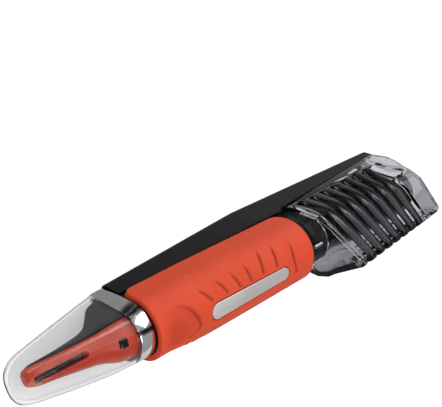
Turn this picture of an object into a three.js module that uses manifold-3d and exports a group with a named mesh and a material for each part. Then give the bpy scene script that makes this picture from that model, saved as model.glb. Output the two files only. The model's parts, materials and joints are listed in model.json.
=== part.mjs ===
// Two-ended personal trimmer: a narrow detail head under a clear cap at one end, a wide side-cutting
// head under a comb guard at the other, and a C-shaped soft grip that slides along the barrel.
//
// Build frame: X runs along the length, from the end face of the barrel beside the detail head (X = 0)
// towards the wide head. Y points from the belly to the spine and Z from the middle to the front.
// The finished group is rolled about X until the rear flank lies flat, and it stands on Z = 0.

import * as THREE from 'three';
import { mergeVertices } from 'three/addons/utils/BufferGeometryUtils.js';
import Module from 'manifold-3d';

const wasm = await Module();
wasm.setup();

// ---------------------------------------------------------------- driving dimensions, in millimetres
const gap = 0.3;              // between touching pieces
const slideGap = 0.45;        // between the grip liner and the barrel it slides on
const flankAngle = 28 * Math.PI / 180;   // each flank leans this far from the middle plane
const axisY = -4.8;           // height of the belly circle's centre, also the battery axis

const bodyLength = 141.5;     // barrel end face to the end of the spine
const barrelRadius = 8.4;     // belly circle of the barrel and the wide head
const barrelEdge = 0.8;       // rounding of their spine edge
const shellWall = 1.2;
const girth = barrelRadius / 8.4;   // shapes drawn about the barrel grow and shrink with it
const barrelLength = 74;
const headEnd = 134;          // end of the wide head's shells

const spineRadius = barrelRadius + 2.6;    // belly circle that the spine cover's flanks would meet
const spineStart = barrelRadius + gap;     // the same at the barrel's end face
const spineRise = 60;         // length over which the spine swells to full size
const spineEdge = 1.6;

const gripStart = 0.7;
const gripLength = 69.2;
const gripTop = axisY + 10.5 * girth;   // level of the grip's edges along the spine
const gripRadius = barrelRadius + 2.9;
const gripEndRadius = barrelRadius + 1.8;  // where it meets the detail head
const gripSwell = 26;
const linerWall = 0.8;
const lipWidth = 1.6;         // lip of the liner past the grip, at the wide head's side

const inlayLength = 36;
const inlayWidth = 5.4;
const inlayThickness = 0.6;
const inlayStart = 20.5;
const inlayAngle = 32 * Math.PI / 180;   // from the belly towards the front and the rear

const batteryDiameter = 10.3;
const batteryLength = 43.3;
const batteryStart = 22;
const motorLength = 11.5;
const motorRadius = 5;

const collarWidth = 5.2;
const collarRadius = barrelRadius + 0.6;   // at the grip; the collar narrows to the barrel's size at the cap
const neckRadius = barrelRadius - 1.4;
const capWall = 0.8;
const detailReach = 39.2;     // how far the detail head stands out
const detailBladeStart = -19.5;
const detailBladeLength = 16.2;
const detailBladeTilt = 28 * Math.PI / 180;   // the slot faces the front, turned towards the belly
const detailPitch = 1;
const detailSlotY = -3.4;      // height of the slot's frame

const wideBladeStart = 84;
const wideBladeLength = 42;
const widePitch = 1.75;
const wideStroke = 0.5;       // eccentricity of the wide head's drive
const wideDriveX = 105;

const combStart = 80;
const combRibs = 9;
const combPitch = 6.1;
const combRibWidth = 2;
const combLength = 61.5;
const pinRadius = 0.65;

// ---------------------------------------------------------------- finishes
const finish = {
  blackGloss: { color: 0x1d1d20, roughness: 0.25, metalness: 0 },
  blackSatin: { color: 0x26262a, roughness: 0.5, metalness: 0 },
  softOrange: { color: 0xe0543a, roughness: 0.6, metalness: 0 },
  hardOrange: { color: 0xd8492f, roughness: 0.35, metalness: 0 },
  brushedSilver: { color: 0xc3beb8, roughness: 0.4, metalness: 0.9 },
  chrome: { color: 0xd9d9dc, roughness: 0.05, metalness: 1 },
  steel: { color: 0xb4b8bc, roughness: 0.3, metalness: 1 },
  brass: { color: 0xb99a55, roughness: 0.35, metalness: 1 },
  clear: { color: 0xdfe5ea, roughness: 0.05, metalness: 0 },
  smoke: { color: 0x3a434c, roughness: 0.12, metalness: 0 },
  board: { color: 0x1f5a36, roughness: 0.55, metalness: 0 },
  batteryWrap: { color: 0x3c6e8f, roughness: 0.4, metalness: 0.2 },
  whiteGlass: { color: 0xf4f2e6, roughness: 0.2, metalness: 0 },
};

// ---------------------------------------------------------------- geometry helpers
function signedVolume(points, triangles) {
  let volume = 0;
  for (const [a, b, c] of triangles) {
    const [p, q, r] = [points[a], points[b], points[c]];
    volume += p[0] * (q[1] * r[2] - q[2] * r[1]) + p[1] * (q[2] * r[0] - q[0] * r[2])
      + p[2] * (q[0] * r[1] - q[1] * r[0]);
  }
  return volume / 6;
}

function closedGeometry(points, triangles) {
  const outward = signedVolume(points, triangles) > 0;
  const geometry = new THREE.BufferGeometry();
  geometry.setAttribute('position', new THREE.Float32BufferAttribute(points.flat(), 3));
  geometry.setIndex(triangles.flatMap(([a, b, c]) => (outward ? [a, b, c] : [a, c, b])));
  return geometry;
}

// A closed solid through outlines of equal point count; each ring is { x, outline: [[y, z], ...] }.
function loft(rings) {
  const count = rings[0].outline.length;
  const points = rings.flatMap(({ x, outline }) => outline.map(([y, z]) => [x, y, z]));
  const triangles = [];
  for (let ring = 0; ring + 1 < rings.length; ring += 1) {
    for (let i = 0; i < count; i += 1) {
      const a = ring * count + i;
      const b = ring * count + (i + 1) % count;
      triangles.push([a, b, b + count], [a, b + count, a + count]);
    }
  }
  const flat = rings[0].outline.map(([y, z]) => new THREE.Vector2(y, z));
  const last = (rings.length - 1) * count;
  for (const [a, b, c] of THREE.ShapeUtils.triangulateShape(flat, [])) {
    triangles.push([a, c, b], [last + a, last + b, last + c]);
  }
  return closedGeometry(points, triangles);
}

function prism(outline, start, end) {
  return loft([{ x: start, outline }, { x: end, outline }]);
}

// A solid from an outline in X and Y, running through in Z.
function plate(outline, low, high) {
  const shape = new THREE.Shape(outline.map(([x, y]) => new THREE.Vector2(x, y)));
  const geometry = new THREE.ExtrudeGeometry(shape, { depth: high - low, bevelEnabled: false });
  return geometry.translate(0, 0, low);
}

function box(x0, x1, y0, y1, z0, z1) {
  return new THREE.BoxGeometry(x1 - x0, y1 - y0, z1 - z0)
    .translate((x0 + x1) / 2, (y0 + y1) / 2, (z0 + z1) / 2);
}

function rodX(radius, start, end, y, z, sides = 20) {
  return new THREE.CylinderGeometry(radius, radius, end - start, sides)
    .rotateZ(-Math.PI / 2).translate((start + end) / 2, y, z);
}

function rodZ(radius, start, end, x, y, sides = 20) {
  return new THREE.CylinderGeometry(radius, radius, end - start, sides)
    .rotateX(Math.PI / 2).translate(x, y, (start + end) / 2);
}

// A frame turned about X around the belly circle's centre: its Z points out at the given angle
// from +Z, and its Y runs along the surface there.
function turned(geometry, angle) {
  return geometry.rotateX(angle).translate(0, axisY, 0);
}

function toSolid(geometry) {
  const bare = geometry.clone();
  bare.deleteAttribute('normal');
  bare.deleteAttribute('uv');
  const merged = mergeVertices(bare, 1e-5);
  return new wasm.Manifold(new wasm.Mesh({
    numProp: 3,
    vertProperties: new Float32Array(merged.attributes.position.array),
    triVerts: new Uint32Array(merged.index.array),
  }));
}

function toGeometry(solid) {
  const mesh = solid.getMesh();
  const geometry = new THREE.BufferGeometry();
  geometry.setAttribute('position', new THREE.BufferAttribute(new Float32Array(mesh.vertProperties), 3));
  geometry.setIndex(new THREE.BufferAttribute(new Uint32Array(mesh.triVerts), 1));
  return geometry;
}

// Joins every piece of the first list and cuts every piece of the second; common keeps an overlap.
function carve(adds, cuts = [], common = []) {
  let solid = adds.map(toSolid).reduce((sum, piece) => sum.add(piece));
  for (const piece of common) solid = solid.intersect(toSolid(piece));
  for (const piece of cuts) solid = solid.subtract(toSolid(piece));
  return toGeometry(solid);
}

// ---------------------------------------------------------------- the teardrop section
// Belly circle of the given radius with its lowest point at bottom, flanks tangent to it, and a
// small round edge whose top is at top. Points run from the spine over the front to the belly.
function teardropBetween(top, bottom, radius, edge, bellySteps = 14) {
  const centre = bottom + radius;
  const edgeCentre = top - edge;
  const lean = Math.asin((radius - edge) / (edgeCentre - centre));
  const front = [];
  for (let i = 0; i <= 2; i += 1) {
    const angle = (Math.PI / 2 - lean) * i / 2;
    front.push([edgeCentre + edge * Math.cos(angle), edge * Math.sin(angle)]);
  }
  for (let i = 0; i <= bellySteps / 2; i += 1) {
    const angle = Math.PI / 2 - lean + (Math.PI / 2 + lean) * i / (bellySteps / 2);
    front.push([centre + radius * Math.cos(angle), radius * Math.sin(angle)]);
  }
  const rear = front.slice(1, -1).reverse().map(([y, z]) => [y, -z]);
  return [...front, ...rear];
}

function teardrop(radius, edge, bellySteps) {
  const top = axisY + (radius - edge) / Math.sin(flankAngle) + edge;
  return teardropBetween(top, axisY - radius, radius, edge, bellySteps);
}

function swell(from, to, reach, x) {
  return from + (to - from) * Math.sin(Math.min(Math.max(x / reach, 0), 1) * Math.PI / 2);
}

function stations(start, end, count) {
  return Array.from({ length: count + 1 }, (_, i) => start + (end - start) * i / count);
}

// A height drawn for a barrel of usual girth, moved out from or in to the axis with the barrel's girth.
function atGirth(y) {
  return axisY + (y - axisY) * girth;
}

// Outline stations [out, top, bottom, radius, edge] at the barrel's girth.
function stationsAtGirth(list) {
  return list.map(([out, top, bottom, radius, edge]) => (
    [out, atGirth(top), atGirth(bottom), radius * girth, edge]));
}

// ---------------------------------------------------------------- assembly
const trimmer = new THREE.Group();
const bench = new THREE.Group();      // pieces in the build frame
trimmer.add(bench);

function part(name, geometry, look) {
  const clean = toGeometry(toSolid(geometry));
  const mesh = new THREE.Mesh(clean, new THREE.MeshStandardMaterial(look));
  mesh.name = name;
  bench.add(mesh);
  return mesh;
}

const barrelOutline = teardrop(barrelRadius, barrelEdge);
const boreOutline = teardrop(barrelRadius - shellWall, barrelEdge);
const clearOutline = teardrop(barrelRadius + gap, barrelEdge);
const frontHalf = (x0, x1) => box(x0, x1, -60, 60, gap / 2, 60);
const rearHalf = (x0, x1) => box(x0, x1, -60, 60, -60, -gap / 2);

// Spine cover: a roof over the barrel's and the head's spine edge, its edges level along the grip
// and rising towards the far end.
const spineEdgeNear = atGirth(7.6);
const spineEdgeEnd = atGirth(13);
const spineEdgeAt = (x) => (x < barrelLength ? gripTop + gap
  : THREE.MathUtils.mapLinear(x, barrelLength, bodyLength, spineEdgeNear, spineEdgeEnd));
{
  const rings = [...stations(0, spineRise, 5), 90, bodyLength - 2, bodyLength].map((x) => {
    const share = Math.min(x / spineRise, 1);
    const radius = THREE.MathUtils.lerp(spineStart, spineRadius, share) - (x === bodyLength ? 0.8 : 0);
    return { x: x === 0 ? gap : x, outline: teardrop(radius, spineEdge) };
  });
  const region = plate([[-1, gripTop + gap], [barrelLength, gripTop + gap],
    [barrelLength, spineEdgeAt(barrelLength)], [bodyLength + 1, spineEdgeAt(bodyLength + 1)],
    [bodyLength + 1, 30], [-1, 30]], -20, 20);
  part('spine_cover', carve([loft(rings)], [prism(clearOutline, -1, bodyLength + 2)], [region]),
    finish.blackGloss);
}

// Barrel shells, with a hole for the detail head's motor shaft in their end wall.
{
  const shell = prism(barrelOutline, gap, barrelLength);
  const bore = prism(boreOutline, gap + shellWall, barrelLength + 1);
  const shaftHole = rodX(1.6, -1, 4, axisY, 0);
  part('barrel_front', carve([shell], [bore, shaftHole], [frontHalf(-1, 90)]), finish.blackGloss);
  part('barrel_rear', carve([shell], [bore, shaftHole], [rearHalf(-1, 90)]), finish.blackGloss);
}

// ---------------------------------------------------------------- wide head
const headStart = barrelLength + gap;
const pocketFloor = barrelRadius - 1.8;            // all levels out from the belly circle's centre, along the flank's normal
const bladeSeat = barrelRadius - 1;
const fixedBladeLow = bladeSeat + gap;
const fixedBladeHigh = fixedBladeLow + 0.6;
const movingBladeLow = barrelRadius - 1.5;
const movingBladeHigh = fixedBladeLow - gap / 2 - 0.1;
const bladeRoot = -2.8;             // along the flank, up towards the spine
const bladeTip = 7.4;
const driveRise = 1;
const screwRise = 1.4;
const screwRadius = 0.8;
const screwHeadRadius = 1.7;
const rearScrewXs = [79, 131];
const rearScrewRise = 2;
const flank = -flankAngle;          // the front flank's frame
const wideBladeEnd = wideBladeStart + wideBladeLength;
const screwXs = [wideBladeStart - 2.2, wideBladeEnd + 2.2];
{
  const outer = prism(barrelOutline, headStart, headEnd);
  const inner = prism(boreOutline, headStart - 1, headEnd + 1);
  const floorSlab = turned(box(wideBladeStart - 5, wideBladeEnd + 5, -6, 12, pocketFloor - shellWall, 12), flank);
  const hollow = carve([inner], [floorSlab]);
  const seat = turned(box(wideBladeStart - 4, wideBladeEnd + 4, bladeRoot - gap, 12, bladeSeat, 14), flank);
  const pocket = turned(box(wideBladeStart, wideBladeEnd, bladeRoot + 1, 12, pocketFloor, 14), flank);
  const driveHole = turned(rodZ(2.8, 2, 12, wideDriveX, driveRise), flank);
  const screwHoles = screwXs.map((x) => turned(rodZ(screwRadius + gap, 3, 12, x, screwRise, 12), flank));
  part('head_front', carve([outer], [hollow, seat, pocket, driveHole, ...screwHoles], [frontHalf(70, 140)]),
    finish.blackGloss);
  const switchSlot = turned(box(83.4, 94.2, -1, 4, -14, -6), -flank);
  const rearScrewHoles = rearScrewXs.map((x) => (
    turned(rodZ(screwRadius + gap, -12, -4, x, rearScrewRise, 12), -flank)));
  part('head_rear', carve([outer], [inner, switchSlot, ...rearScrewHoles], [rearHalf(70, 140)]),
    finish.blackGloss);
  rearScrewXs.forEach((x, i) => part(`rear_screw_${i + 1}`,
    turned(rodZ(screwRadius, -barrelRadius, -4.4, x, rearScrewRise, 12), -flank), finish.steel));
}

// End plate of the wide head, with a rectangular recess.
part('end_plate', carve([prism(teardrop(barrelRadius - 0.2, barrelEdge), headEnd + gap, headEnd + 2)],
  [box(headEnd + 1, headEnd + 4, -9, 0, -3, 3)]), finish.blackSatin);

function comb(start, length, root, tip, toothRoot, pitch, low, high, toothShare = 0.5) {
  const count = Math.floor(length / pitch);
  const outline = [[start, root]];
  const inset = (length - count * pitch + pitch * (1 - toothShare)) / 2;
  outline.push([start + length, root], [start + length, toothRoot]);
  for (let i = count - 1; i >= 0; i -= 1) {
    const left = start + inset + i * pitch;
    const right = left + pitch * toothShare;
    const nose = pitch * toothShare * 0.25;
    outline.push([right, toothRoot], [right - nose, tip], [left + nose, tip], [left, toothRoot]);
  }
  outline.push([start, toothRoot]);
  return plate(outline, low, high);
}

// Fixed and moving blade of the wide head, lying on the front flank with their teeth to the spine.
{
  const teeth = comb(wideBladeStart, wideBladeLength, bladeRoot, bladeTip, bladeTip - 2.6, widePitch,
    fixedBladeLow, fixedBladeHigh, 0.48);
  const tabs = box(wideBladeStart - 3.7, wideBladeEnd + 3.7, bladeRoot, bladeTip - 3,
    fixedBladeLow, fixedBladeHigh);
  const holes = screwXs.map((x) => rodZ(screwHeadRadius + gap, 0, 12, x, screwRise, 16));
  part('wide_fixed_blade', turned(carve([teeth, tabs], holes), flank), finish.steel);
  const moving = comb(wideBladeStart + 1.6, wideBladeLength - 3.2, bladeRoot + 1.6, bladeTip - 0.8,
    bladeTip - 3, widePitch, movingBladeLow, movingBladeHigh, 0.5);
  const slotHalf = 0.6 + 2 * wideStroke + gap;
  const slot = box(wideDriveX - slotHalf, wideDriveX + slotHalf, driveRise - 1.6, driveRise + 1.6, 0, 12);
  part('wide_moving_blade', turned(carve([moving], [slot]), flank), finish.steel);
  screwXs.forEach((x, i) => part(`blade_screw_${i + 1}`, turned(carve([
    rodZ(screwRadius, 4.4, fixedBladeHigh - 0.2, x, screwRise, 12),
    rodZ(screwHeadRadius, fixedBladeLow, fixedBladeHigh, x, screwRise, 16)]), flank), finish.steel));
}

// Drive of the wide head: a flat motor across the body and an eccentric in the moving blade's slot.
{
  const canLow = -3.6;
  const canHigh = 2.7;
  const discLow = 4.6;
  const discHigh = movingBladeLow - 0.5;
  part('wide_motor', turned(rodZ(4.6, canLow, canHigh, wideDriveX, driveRise, 24), flank), finish.steel);
  part('wide_motor_shaft', turned(rodZ(0.8, canHigh + gap, discLow - gap, wideDriveX, driveRise, 12), flank),
    finish.steel);
  part('wide_eccentric', turned(carve([
    rodZ(2.3, discLow, discHigh, wideDriveX, driveRise),
    rodZ(0.6, discHigh - 0.1, movingBladeHigh - 0.05, wideDriveX + wideStroke, driveRise, 12)]), flank),
  finish.brass);
}

// Power switch knob, in a slot of the rear flank; it slides along X.
part('switch_knob', turned(carve([box(83.9, 90.6, -0.6, 3.6, -barrelRadius - 0.15, -6.4),
  box(82.6, 91.9, -1.6, 4.6, -6.7, -5.9)]), -flank), finish.blackSatin);

// ---------------------------------------------------------------- inside the barrel
const batteryRadius = batteryDiameter / 2;
part('battery', new THREE.LatheGeometry([
  [0, 0], [batteryRadius - 0.4, 0], [batteryRadius, 0.4], [batteryRadius, batteryLength - 0.5],
  [batteryRadius - 0.5, batteryLength], [1.9, batteryLength], [1.9, batteryLength + 1], [0, batteryLength + 1],
].map(([r, h]) => new THREE.Vector2(r, h)), 24).rotateZ(-Math.PI / 2).translate(batteryStart, axisY, 0),
finish.batteryWrap);

class Coil extends THREE.Curve {
  constructor(length, turns, wide, narrow) {
    super();
    Object.assign(this, { length, turns, wide, narrow });
  }
  getPoint(t, target = new THREE.Vector3()) {
    const angle = t * this.turns * Math.PI * 2;
    const radius = this.wide + (this.narrow - this.wide) * t;
    return target.set(this.length * t, radius * Math.cos(angle), radius * Math.sin(angle));
  }
}
{
  const wire = new THREE.Shape();
  wire.absellipse(0, 0, 0.35, 0.35, 0, Math.PI * 2);
  const springStart = 17;
  part('battery_spring', new THREE.ExtrudeGeometry(wire, {
    steps: 60, curveSegments: 3, bevelEnabled: false,
    extrudePath: new Coil(batteryStart - springStart - 1, 3.5, 4, 2.4),
  }).translate(springStart + 0.5, axisY, 0), finish.steel);
}
const contactX = batteryStart + batteryLength + 1 + gap;
part('battery_contact', rodX(4.2, contactX, contactX + 0.5, axisY, 0), finish.brass);
part('circuit_board', box(18, 62, 0.9, 5, -0.5, 0.5), finish.board);

// ---------------------------------------------------------------- detail head
{
  const motorStart = 3;
  part('detail_motor', rodX(motorRadius, motorStart, motorStart + motorLength, axisY, 0, 24), finish.steel);
  part('detail_motor_shaft', rodX(0.8, -1.2, motorStart - gap, axisY, 0, 12), finish.steel);
  part('detail_cam', carve([rodX(2.3, -3.2, -1.2 - gap, axisY, 0),
    rodX(0.5, -4.6, -3.1, axisY + 0.8, 0, 12)]), finish.brass);
}
// Outline stations of the detail head: how far out, top, bottom, belly radius and edge radius.
const neckTop = axisY + (neckRadius - 1.2) / Math.sin(flankAngle) + 1.2;
const detailStations = [
  [0, neckTop, axisY - neckRadius, neckRadius, 1.2],
  [8.6, neckTop - 0.2, axisY - neckRadius + 0.2, neckRadius - 0.2, 1.2],
  ...stationsAtGirth([[10.6, 6.6, -11.2, 6.5, 1.4],
  [12.6, 3.9, -10.2, 5.8, 1.8],
  [15.2, 2.2, -9, 4.9, 2],
  [20, 1.5, -7.6, 4, 1.9],
  [28, 1.1, -6.3, 3.2, 1.6],
  [36, 0.9, -5.4, 2.7, 1.4],
  [38.4, 0.3, -4.9, 2.2, 1.2],
  [detailReach, -0.8, -4, 1.4, 0.9]]),
];
function detailLoft(inset, from, to) {
  const inside = detailStations.filter(([out]) => out > from && out < to);
  const at = (out) => {
    const next = Math.max(1, detailStations.findIndex(([place]) => place >= out));
    const [a, b] = [detailStations[next - 1], detailStations[next]];
    const share = (out - a[0]) / (b[0] - a[0]);
    return a.map((value, i) => value + (b[i] - value) * share);
  };
  return loft([at(from), ...inside, at(to)].map(([out, top, bottom, radius, edge]) => ({
    x: -out,
    outline: teardropBetween(top - inset, bottom + inset, radius - inset, Math.max(edge - inset, 0.3), 12),
  })));
}
{
  const outer = detailLoft(0, gap, detailReach);
  const inner = detailLoft(1.1, gap - 0.2, 36.4);
  const seam = [[1, -2], [-12, -2], [-20, -1.4], [-36.6, 0], [-37.4, 2.4]];
  const above = plate([...seam, [-37.4, 20], [1, 20]].map(([x, y]) => [x, y]), -20, 20);
  const below = plate([...seam.map(([x, y]) => [x - (y > 0 ? gap : 0), y - gap]),
    [-50, 2.4], [-50, -30], [1, -30]], -20, 20);
  // The blade slot's own frame: Z out of the slot, Y towards the spine.
  const bladeFrame = (geometry) => geometry.rotateX(detailBladeTilt).translate(0, detailSlotY, 0);
  const bladeX = detailBladeStart - detailBladeLength;
  const slotWidth = [-1.35, 0.9];
  const rootY = 1.5;
  const window = bladeFrame(box(bladeX - gap, detailBladeStart + gap, ...slotWidth, 0, 12));
  const bladeRoom = bladeFrame(box(bladeX - gap, detailBladeStart + 2, slotWidth[0], rootY + gap, -0.6, 1.75));
  const lensAngle = 36.87 * Math.PI / 180;
  const lensFace = neckRadius - 0.4;
  const lensHole = turned(box(-10.9, -8.1, -1.4, 1.4, 4, 12), lensAngle);
  part('detail_base', carve([outer], [inner, bladeRoom], [above]), finish.blackSatin);
  part('detail_panel', carve([outer], [inner, window, bladeRoom, lensHole], [below]), finish.hardOrange);
  part('lamp_lens', turned(box(-10.6, -8.4, -1.1, 1.1, lensFace - 1.2, lensFace), lensAngle), finish.clear);
  part('lamp', turned(rodZ(0.9, 2.4, lensFace - 1.5, -9.5, 0, 16), lensAngle), finish.whiteGlass);
  part('detail_fixed_blade', bladeFrame(comb(bladeX, detailBladeLength, rootY, -0.95, 0.4, detailPitch,
    1.1, 1.45)), finish.steel);
  part('detail_moving_blade', bladeFrame(comb(bladeX + 1, detailBladeLength - 2, rootY - 0.3, -0.8, 0.4,
    detailPitch, 0.45, 0.8)), finish.steel);
  part('detail_push_rod', bladeFrame(box(bladeX + 10, -5.6, 0.2, 1.2, -0.4, 0.15)), finish.brass);
}

// ---------------------------------------------------------------- clear cap and chrome collar
{
  const capStations = stationsAtGirth([
    [collarWidth + gap, 11.4, -13.1, 8.35, 1.8],
    [13, 10, -12.8, 8, 2.2],
    [26, 7.3, -11.1, 7, 3],
    [34.5, 5.5, -9.7, 6.2, 3.4],
    [38.2, 4.3, -9, 5.6, 3.5],
    [40.7, 2.3, -8, 4.5, 3.1],
    [42, -0.4, -6.2, 2.6, 1.9],
  ]);
  const rings = (inset, push) => capStations.map(([out, top, bottom, radius, edge]) => ({
    x: -out + push,
    outline: teardropBetween(top - inset, bottom + inset, radius - inset, edge - inset, 14),
  }));
  const cavity = loft(rings(capWall, 0.95));
  part('clear_cap', carve([loft(rings(0, 0))], [cavity]), finish.clear);
  const collarOuter = loft([{ x: -collarWidth, outline: teardrop(barrelRadius, 1.2) },
    { x: 0, outline: teardropBetween(atGirth(12), atGirth(-13.1), collarRadius, 1.2) }]);
  const collarInner = teardrop(neckRadius + 0.4, 1.2);
  part('chrome_collar', carve([collarOuter], [prism(collarInner, -10, 2)]),
    finish.chrome);
}

// ---------------------------------------------------------------- sliding grip
const gripEnd = gripStart + gripLength;
const linerInner = barrelRadius + slideGap;
const linerOuter = linerInner + linerWall;
const lipEnd = gripEnd + gap + lipWidth;
{
  const cornerRadius = 5;
  const smallCorner = 3.2;
  const region = new THREE.Shape();
  region.moveTo(gripStart, -30);
  region.lineTo(gripStart, gripTop - smallCorner);
  region.bezierCurveTo(gripStart, gripTop - 1, gripStart + 1.2, gripTop, gripStart + smallCorner, gripTop);
  region.lineTo(gripEnd - cornerRadius, gripTop);
  region.bezierCurveTo(gripEnd - 1.5, gripTop, gripEnd, gripTop - 2, gripEnd, gripTop - cornerRadius - 1);
  region.lineTo(gripEnd, -30);
  const regionSolid = new THREE.ExtrudeGeometry(region, { depth: 40, bevelEnabled: false, curveSegments: 5 })
    .translate(0, 0, -20);
  const rings = [...stations(0, gripSwell, 4), gripLength - 6, gripLength].map((out) => ({
    x: gripStart + out,
    outline: teardrop(swell(gripEndRadius, gripRadius, gripSwell, out) - (out === gripLength ? 0.25 : 0), 1.5, 20),
  }));
  const gripBore = prism(teardrop(linerOuter + gap, 1, 20), -5, 80);
  const pill = (grow, low, high) => {
    const half = inlayWidth / 2 + grow;
    const shape = new THREE.Shape();
    const [left, right] = [inlayStart + inlayWidth / 2, inlayStart + inlayLength - inlayWidth / 2];
    shape.absarc(right, 0, half, -Math.PI / 2, Math.PI / 2);
    shape.absarc(left, 0, half, Math.PI / 2, Math.PI * 1.5);
    return new THREE.ExtrudeGeometry(shape, { depth: high - low, bevelEnabled: false, curveSegments: 8 })
      .translate(0, 0, low);
  };
  const faceAngle = Math.PI / 2 - inlayAngle;
  const pocketShell = prism(teardrop(gripRadius - inlayThickness - gap, 1, 20), 0, 72);
  const pockets = [faceAngle, Math.PI - faceAngle].map((angle) => (
    carve([turned(pill(gap, 5, 14), angle)], [pocketShell])));
  part('soft_grip', carve([loft(rings)], [gripBore, ...pockets], [regionSolid]), finish.softOrange);
  const inlaySkin = prism(teardrop(gripRadius, 1.5, 20), 0, 72);
  const inlayBed = prism(teardrop(gripRadius - inlayThickness, 1.2, 20), -1, 73);
  ['front', 'rear'].forEach((side, i) => {
    const angle = i === 0 ? faceAngle : Math.PI - faceAngle;
    part(`inlay_${side}`, carve([inlaySkin], [inlayBed], [turned(pill(0, 5, 14), angle)]),
      finish.brushedSilver);
  });

  const linerRegion = box(-5, 80, -30, gripTop - gap, -30, 30);
  const lip = prism(teardrop(gripRadius - 0.8, 1, 20), gripEnd + gap, lipEnd);
  const liner = prism(teardrop(linerOuter, 1, 20), gap, lipEnd);
  part('grip_liner', carve([liner, lip], [prism(teardrop(linerInner, 1, 20), -5, 80)], [linerRegion]),
    finish.blackGloss);
  part('guide_pin', rodX(pinRadius, lipEnd + gap, lipEnd + 4.6, atGirth(axisY - 6.7), 6.9 * girth, 12), finish.steel);
}

// ---------------------------------------------------------------- comb guard
{
  const outerNear = [[15.5, 2], [8.2, 4.7], [4.9, 6.7], [0.6, 9.4], [-3.5, 10.9], [-9, 11.5], [-25.6, 11.5],
    [-27, 10.9], [-27.2, 9.6], [-20.8, -1.6], [-19.2, -5.2], [-15.9, -8.7], [-11.6, -10.8], [-8.8, -10.6],
    [-6, -4], [4, 0], [15.5, 1]];
  const hollowNear = [[-0.4, 7], [-3, 9], [-9, 9.7], [-24.8, 9.7], [-19.2, -0.6], [-17.7, -4.4], [-14.9, -7.4],
    [-12.5, -7.4], [-8, -3], [0, 0]];
  // Towards the far end the tips draw in by tipDraw and lean to the middle plane by tipLean.
  const tipDraw = 0.24;
  const tipLean = 0.36;
  const tipFrom = -9;
  const taper = (outline) => outline.map(([y, z]) => {
    const reach = Math.min(Math.max((tipFrom - y) / 16, 0), 1);
    return [y < tipFrom ? tipFrom + (y - tipFrom) * (1 - tipDraw) : y, z > 0 ? z * (0.96 - tipLean * reach) : z];
  });
  const grown = (outline) => outline.map(([y, z]) => [atGirth(y), z * girth]);
  const shrink = (outline, scale) => outline.map(([y, z]) => [-5 + (y + 5) * scale, z * scale]);
  const combEnd = combStart + combLength;
  const far = combEnd - 5;
  const outer = loft([{ x: combStart, outline: grown(outerNear) }, { x: far, outline: grown(taper(outerNear)) },
    { x: combEnd - 1.6, outline: grown(shrink(taper(outerNear), 0.97)) },
    { x: combEnd, outline: grown(shrink(taper(outerNear), 0.9)) }]);
  const endWall = 1.4;
  const hollow = loft([{ x: combStart + endWall, outline: grown(hollowNear) },
    { x: far, outline: grown(taper(hollowNear)) },
    { x: combEnd - endWall, outline: grown(shrink(taper(hollowNear), 0.94)) }]);
  const headRoom = prism(teardrop(barrelRadius + 0.5, barrelEdge), combStart - 5, combEnd - endWall);
  const screwRoom = turned(box(screwXs[0] - 2.6, screwXs[1] + 2.6, bladeRoot - 1, bladeTip + 1,
    6, fixedBladeHigh + 1.3), flank);
  const topEdge = plate([[70, spineEdgeAt(70.0) + 1.2], [combStart - 2, spineEdgeAt(combStart - 2) - 0.4],
    [combEnd + 5, spineEdgeAt(combEnd + 5) - 0.4], [combEnd + 5, -40], [70, -40]], -30, 30);
  const ribStart = (i) => combStart + i * combPitch;
  const slots = Array.from({ length: combRibs - 1 }, (_, i) => prism(
    grown([[6.4, 2.4], [6.4, 20], [-40, 20], [-40, 6.6], [-22, 6.6], [-3, 5.6]]),
    ribStart(i) + combRibWidth, ribStart(i + 1)));
  part('comb_guard', carve([outer], [hollow, headRoom, screwRoom, ...slots], [topEdge]), finish.smoke);
}

// ---------------------------------------------------------------- into the resting pose
bench.rotation.x = -flankAngle;
bench.updateMatrixWorld(true);
const bounds = new THREE.Box3().setFromObject(trimmer, true);
bench.position.set(-(bounds.min.x + bounds.max.x) / 2, -(bounds.min.y + bounds.max.y) / 2, -bounds.min.z);

export default trimmer;
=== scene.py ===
"""Looks of a two-ended personal trimmer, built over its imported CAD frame.

Shapes are laid out in the trimmer's own axes, in millimetres: X runs from the barrel's end face
beside the detail head towards the wide head, Y from the belly to the spine, Z to the front.
BuildFrame turns them into the row's metres.
"""
import json
import logging
import math
from dataclasses import dataclass
from enum import Enum
from typing import Callable, Optional

import bmesh
import bpy
from mathutils import Matrix, Vector

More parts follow.
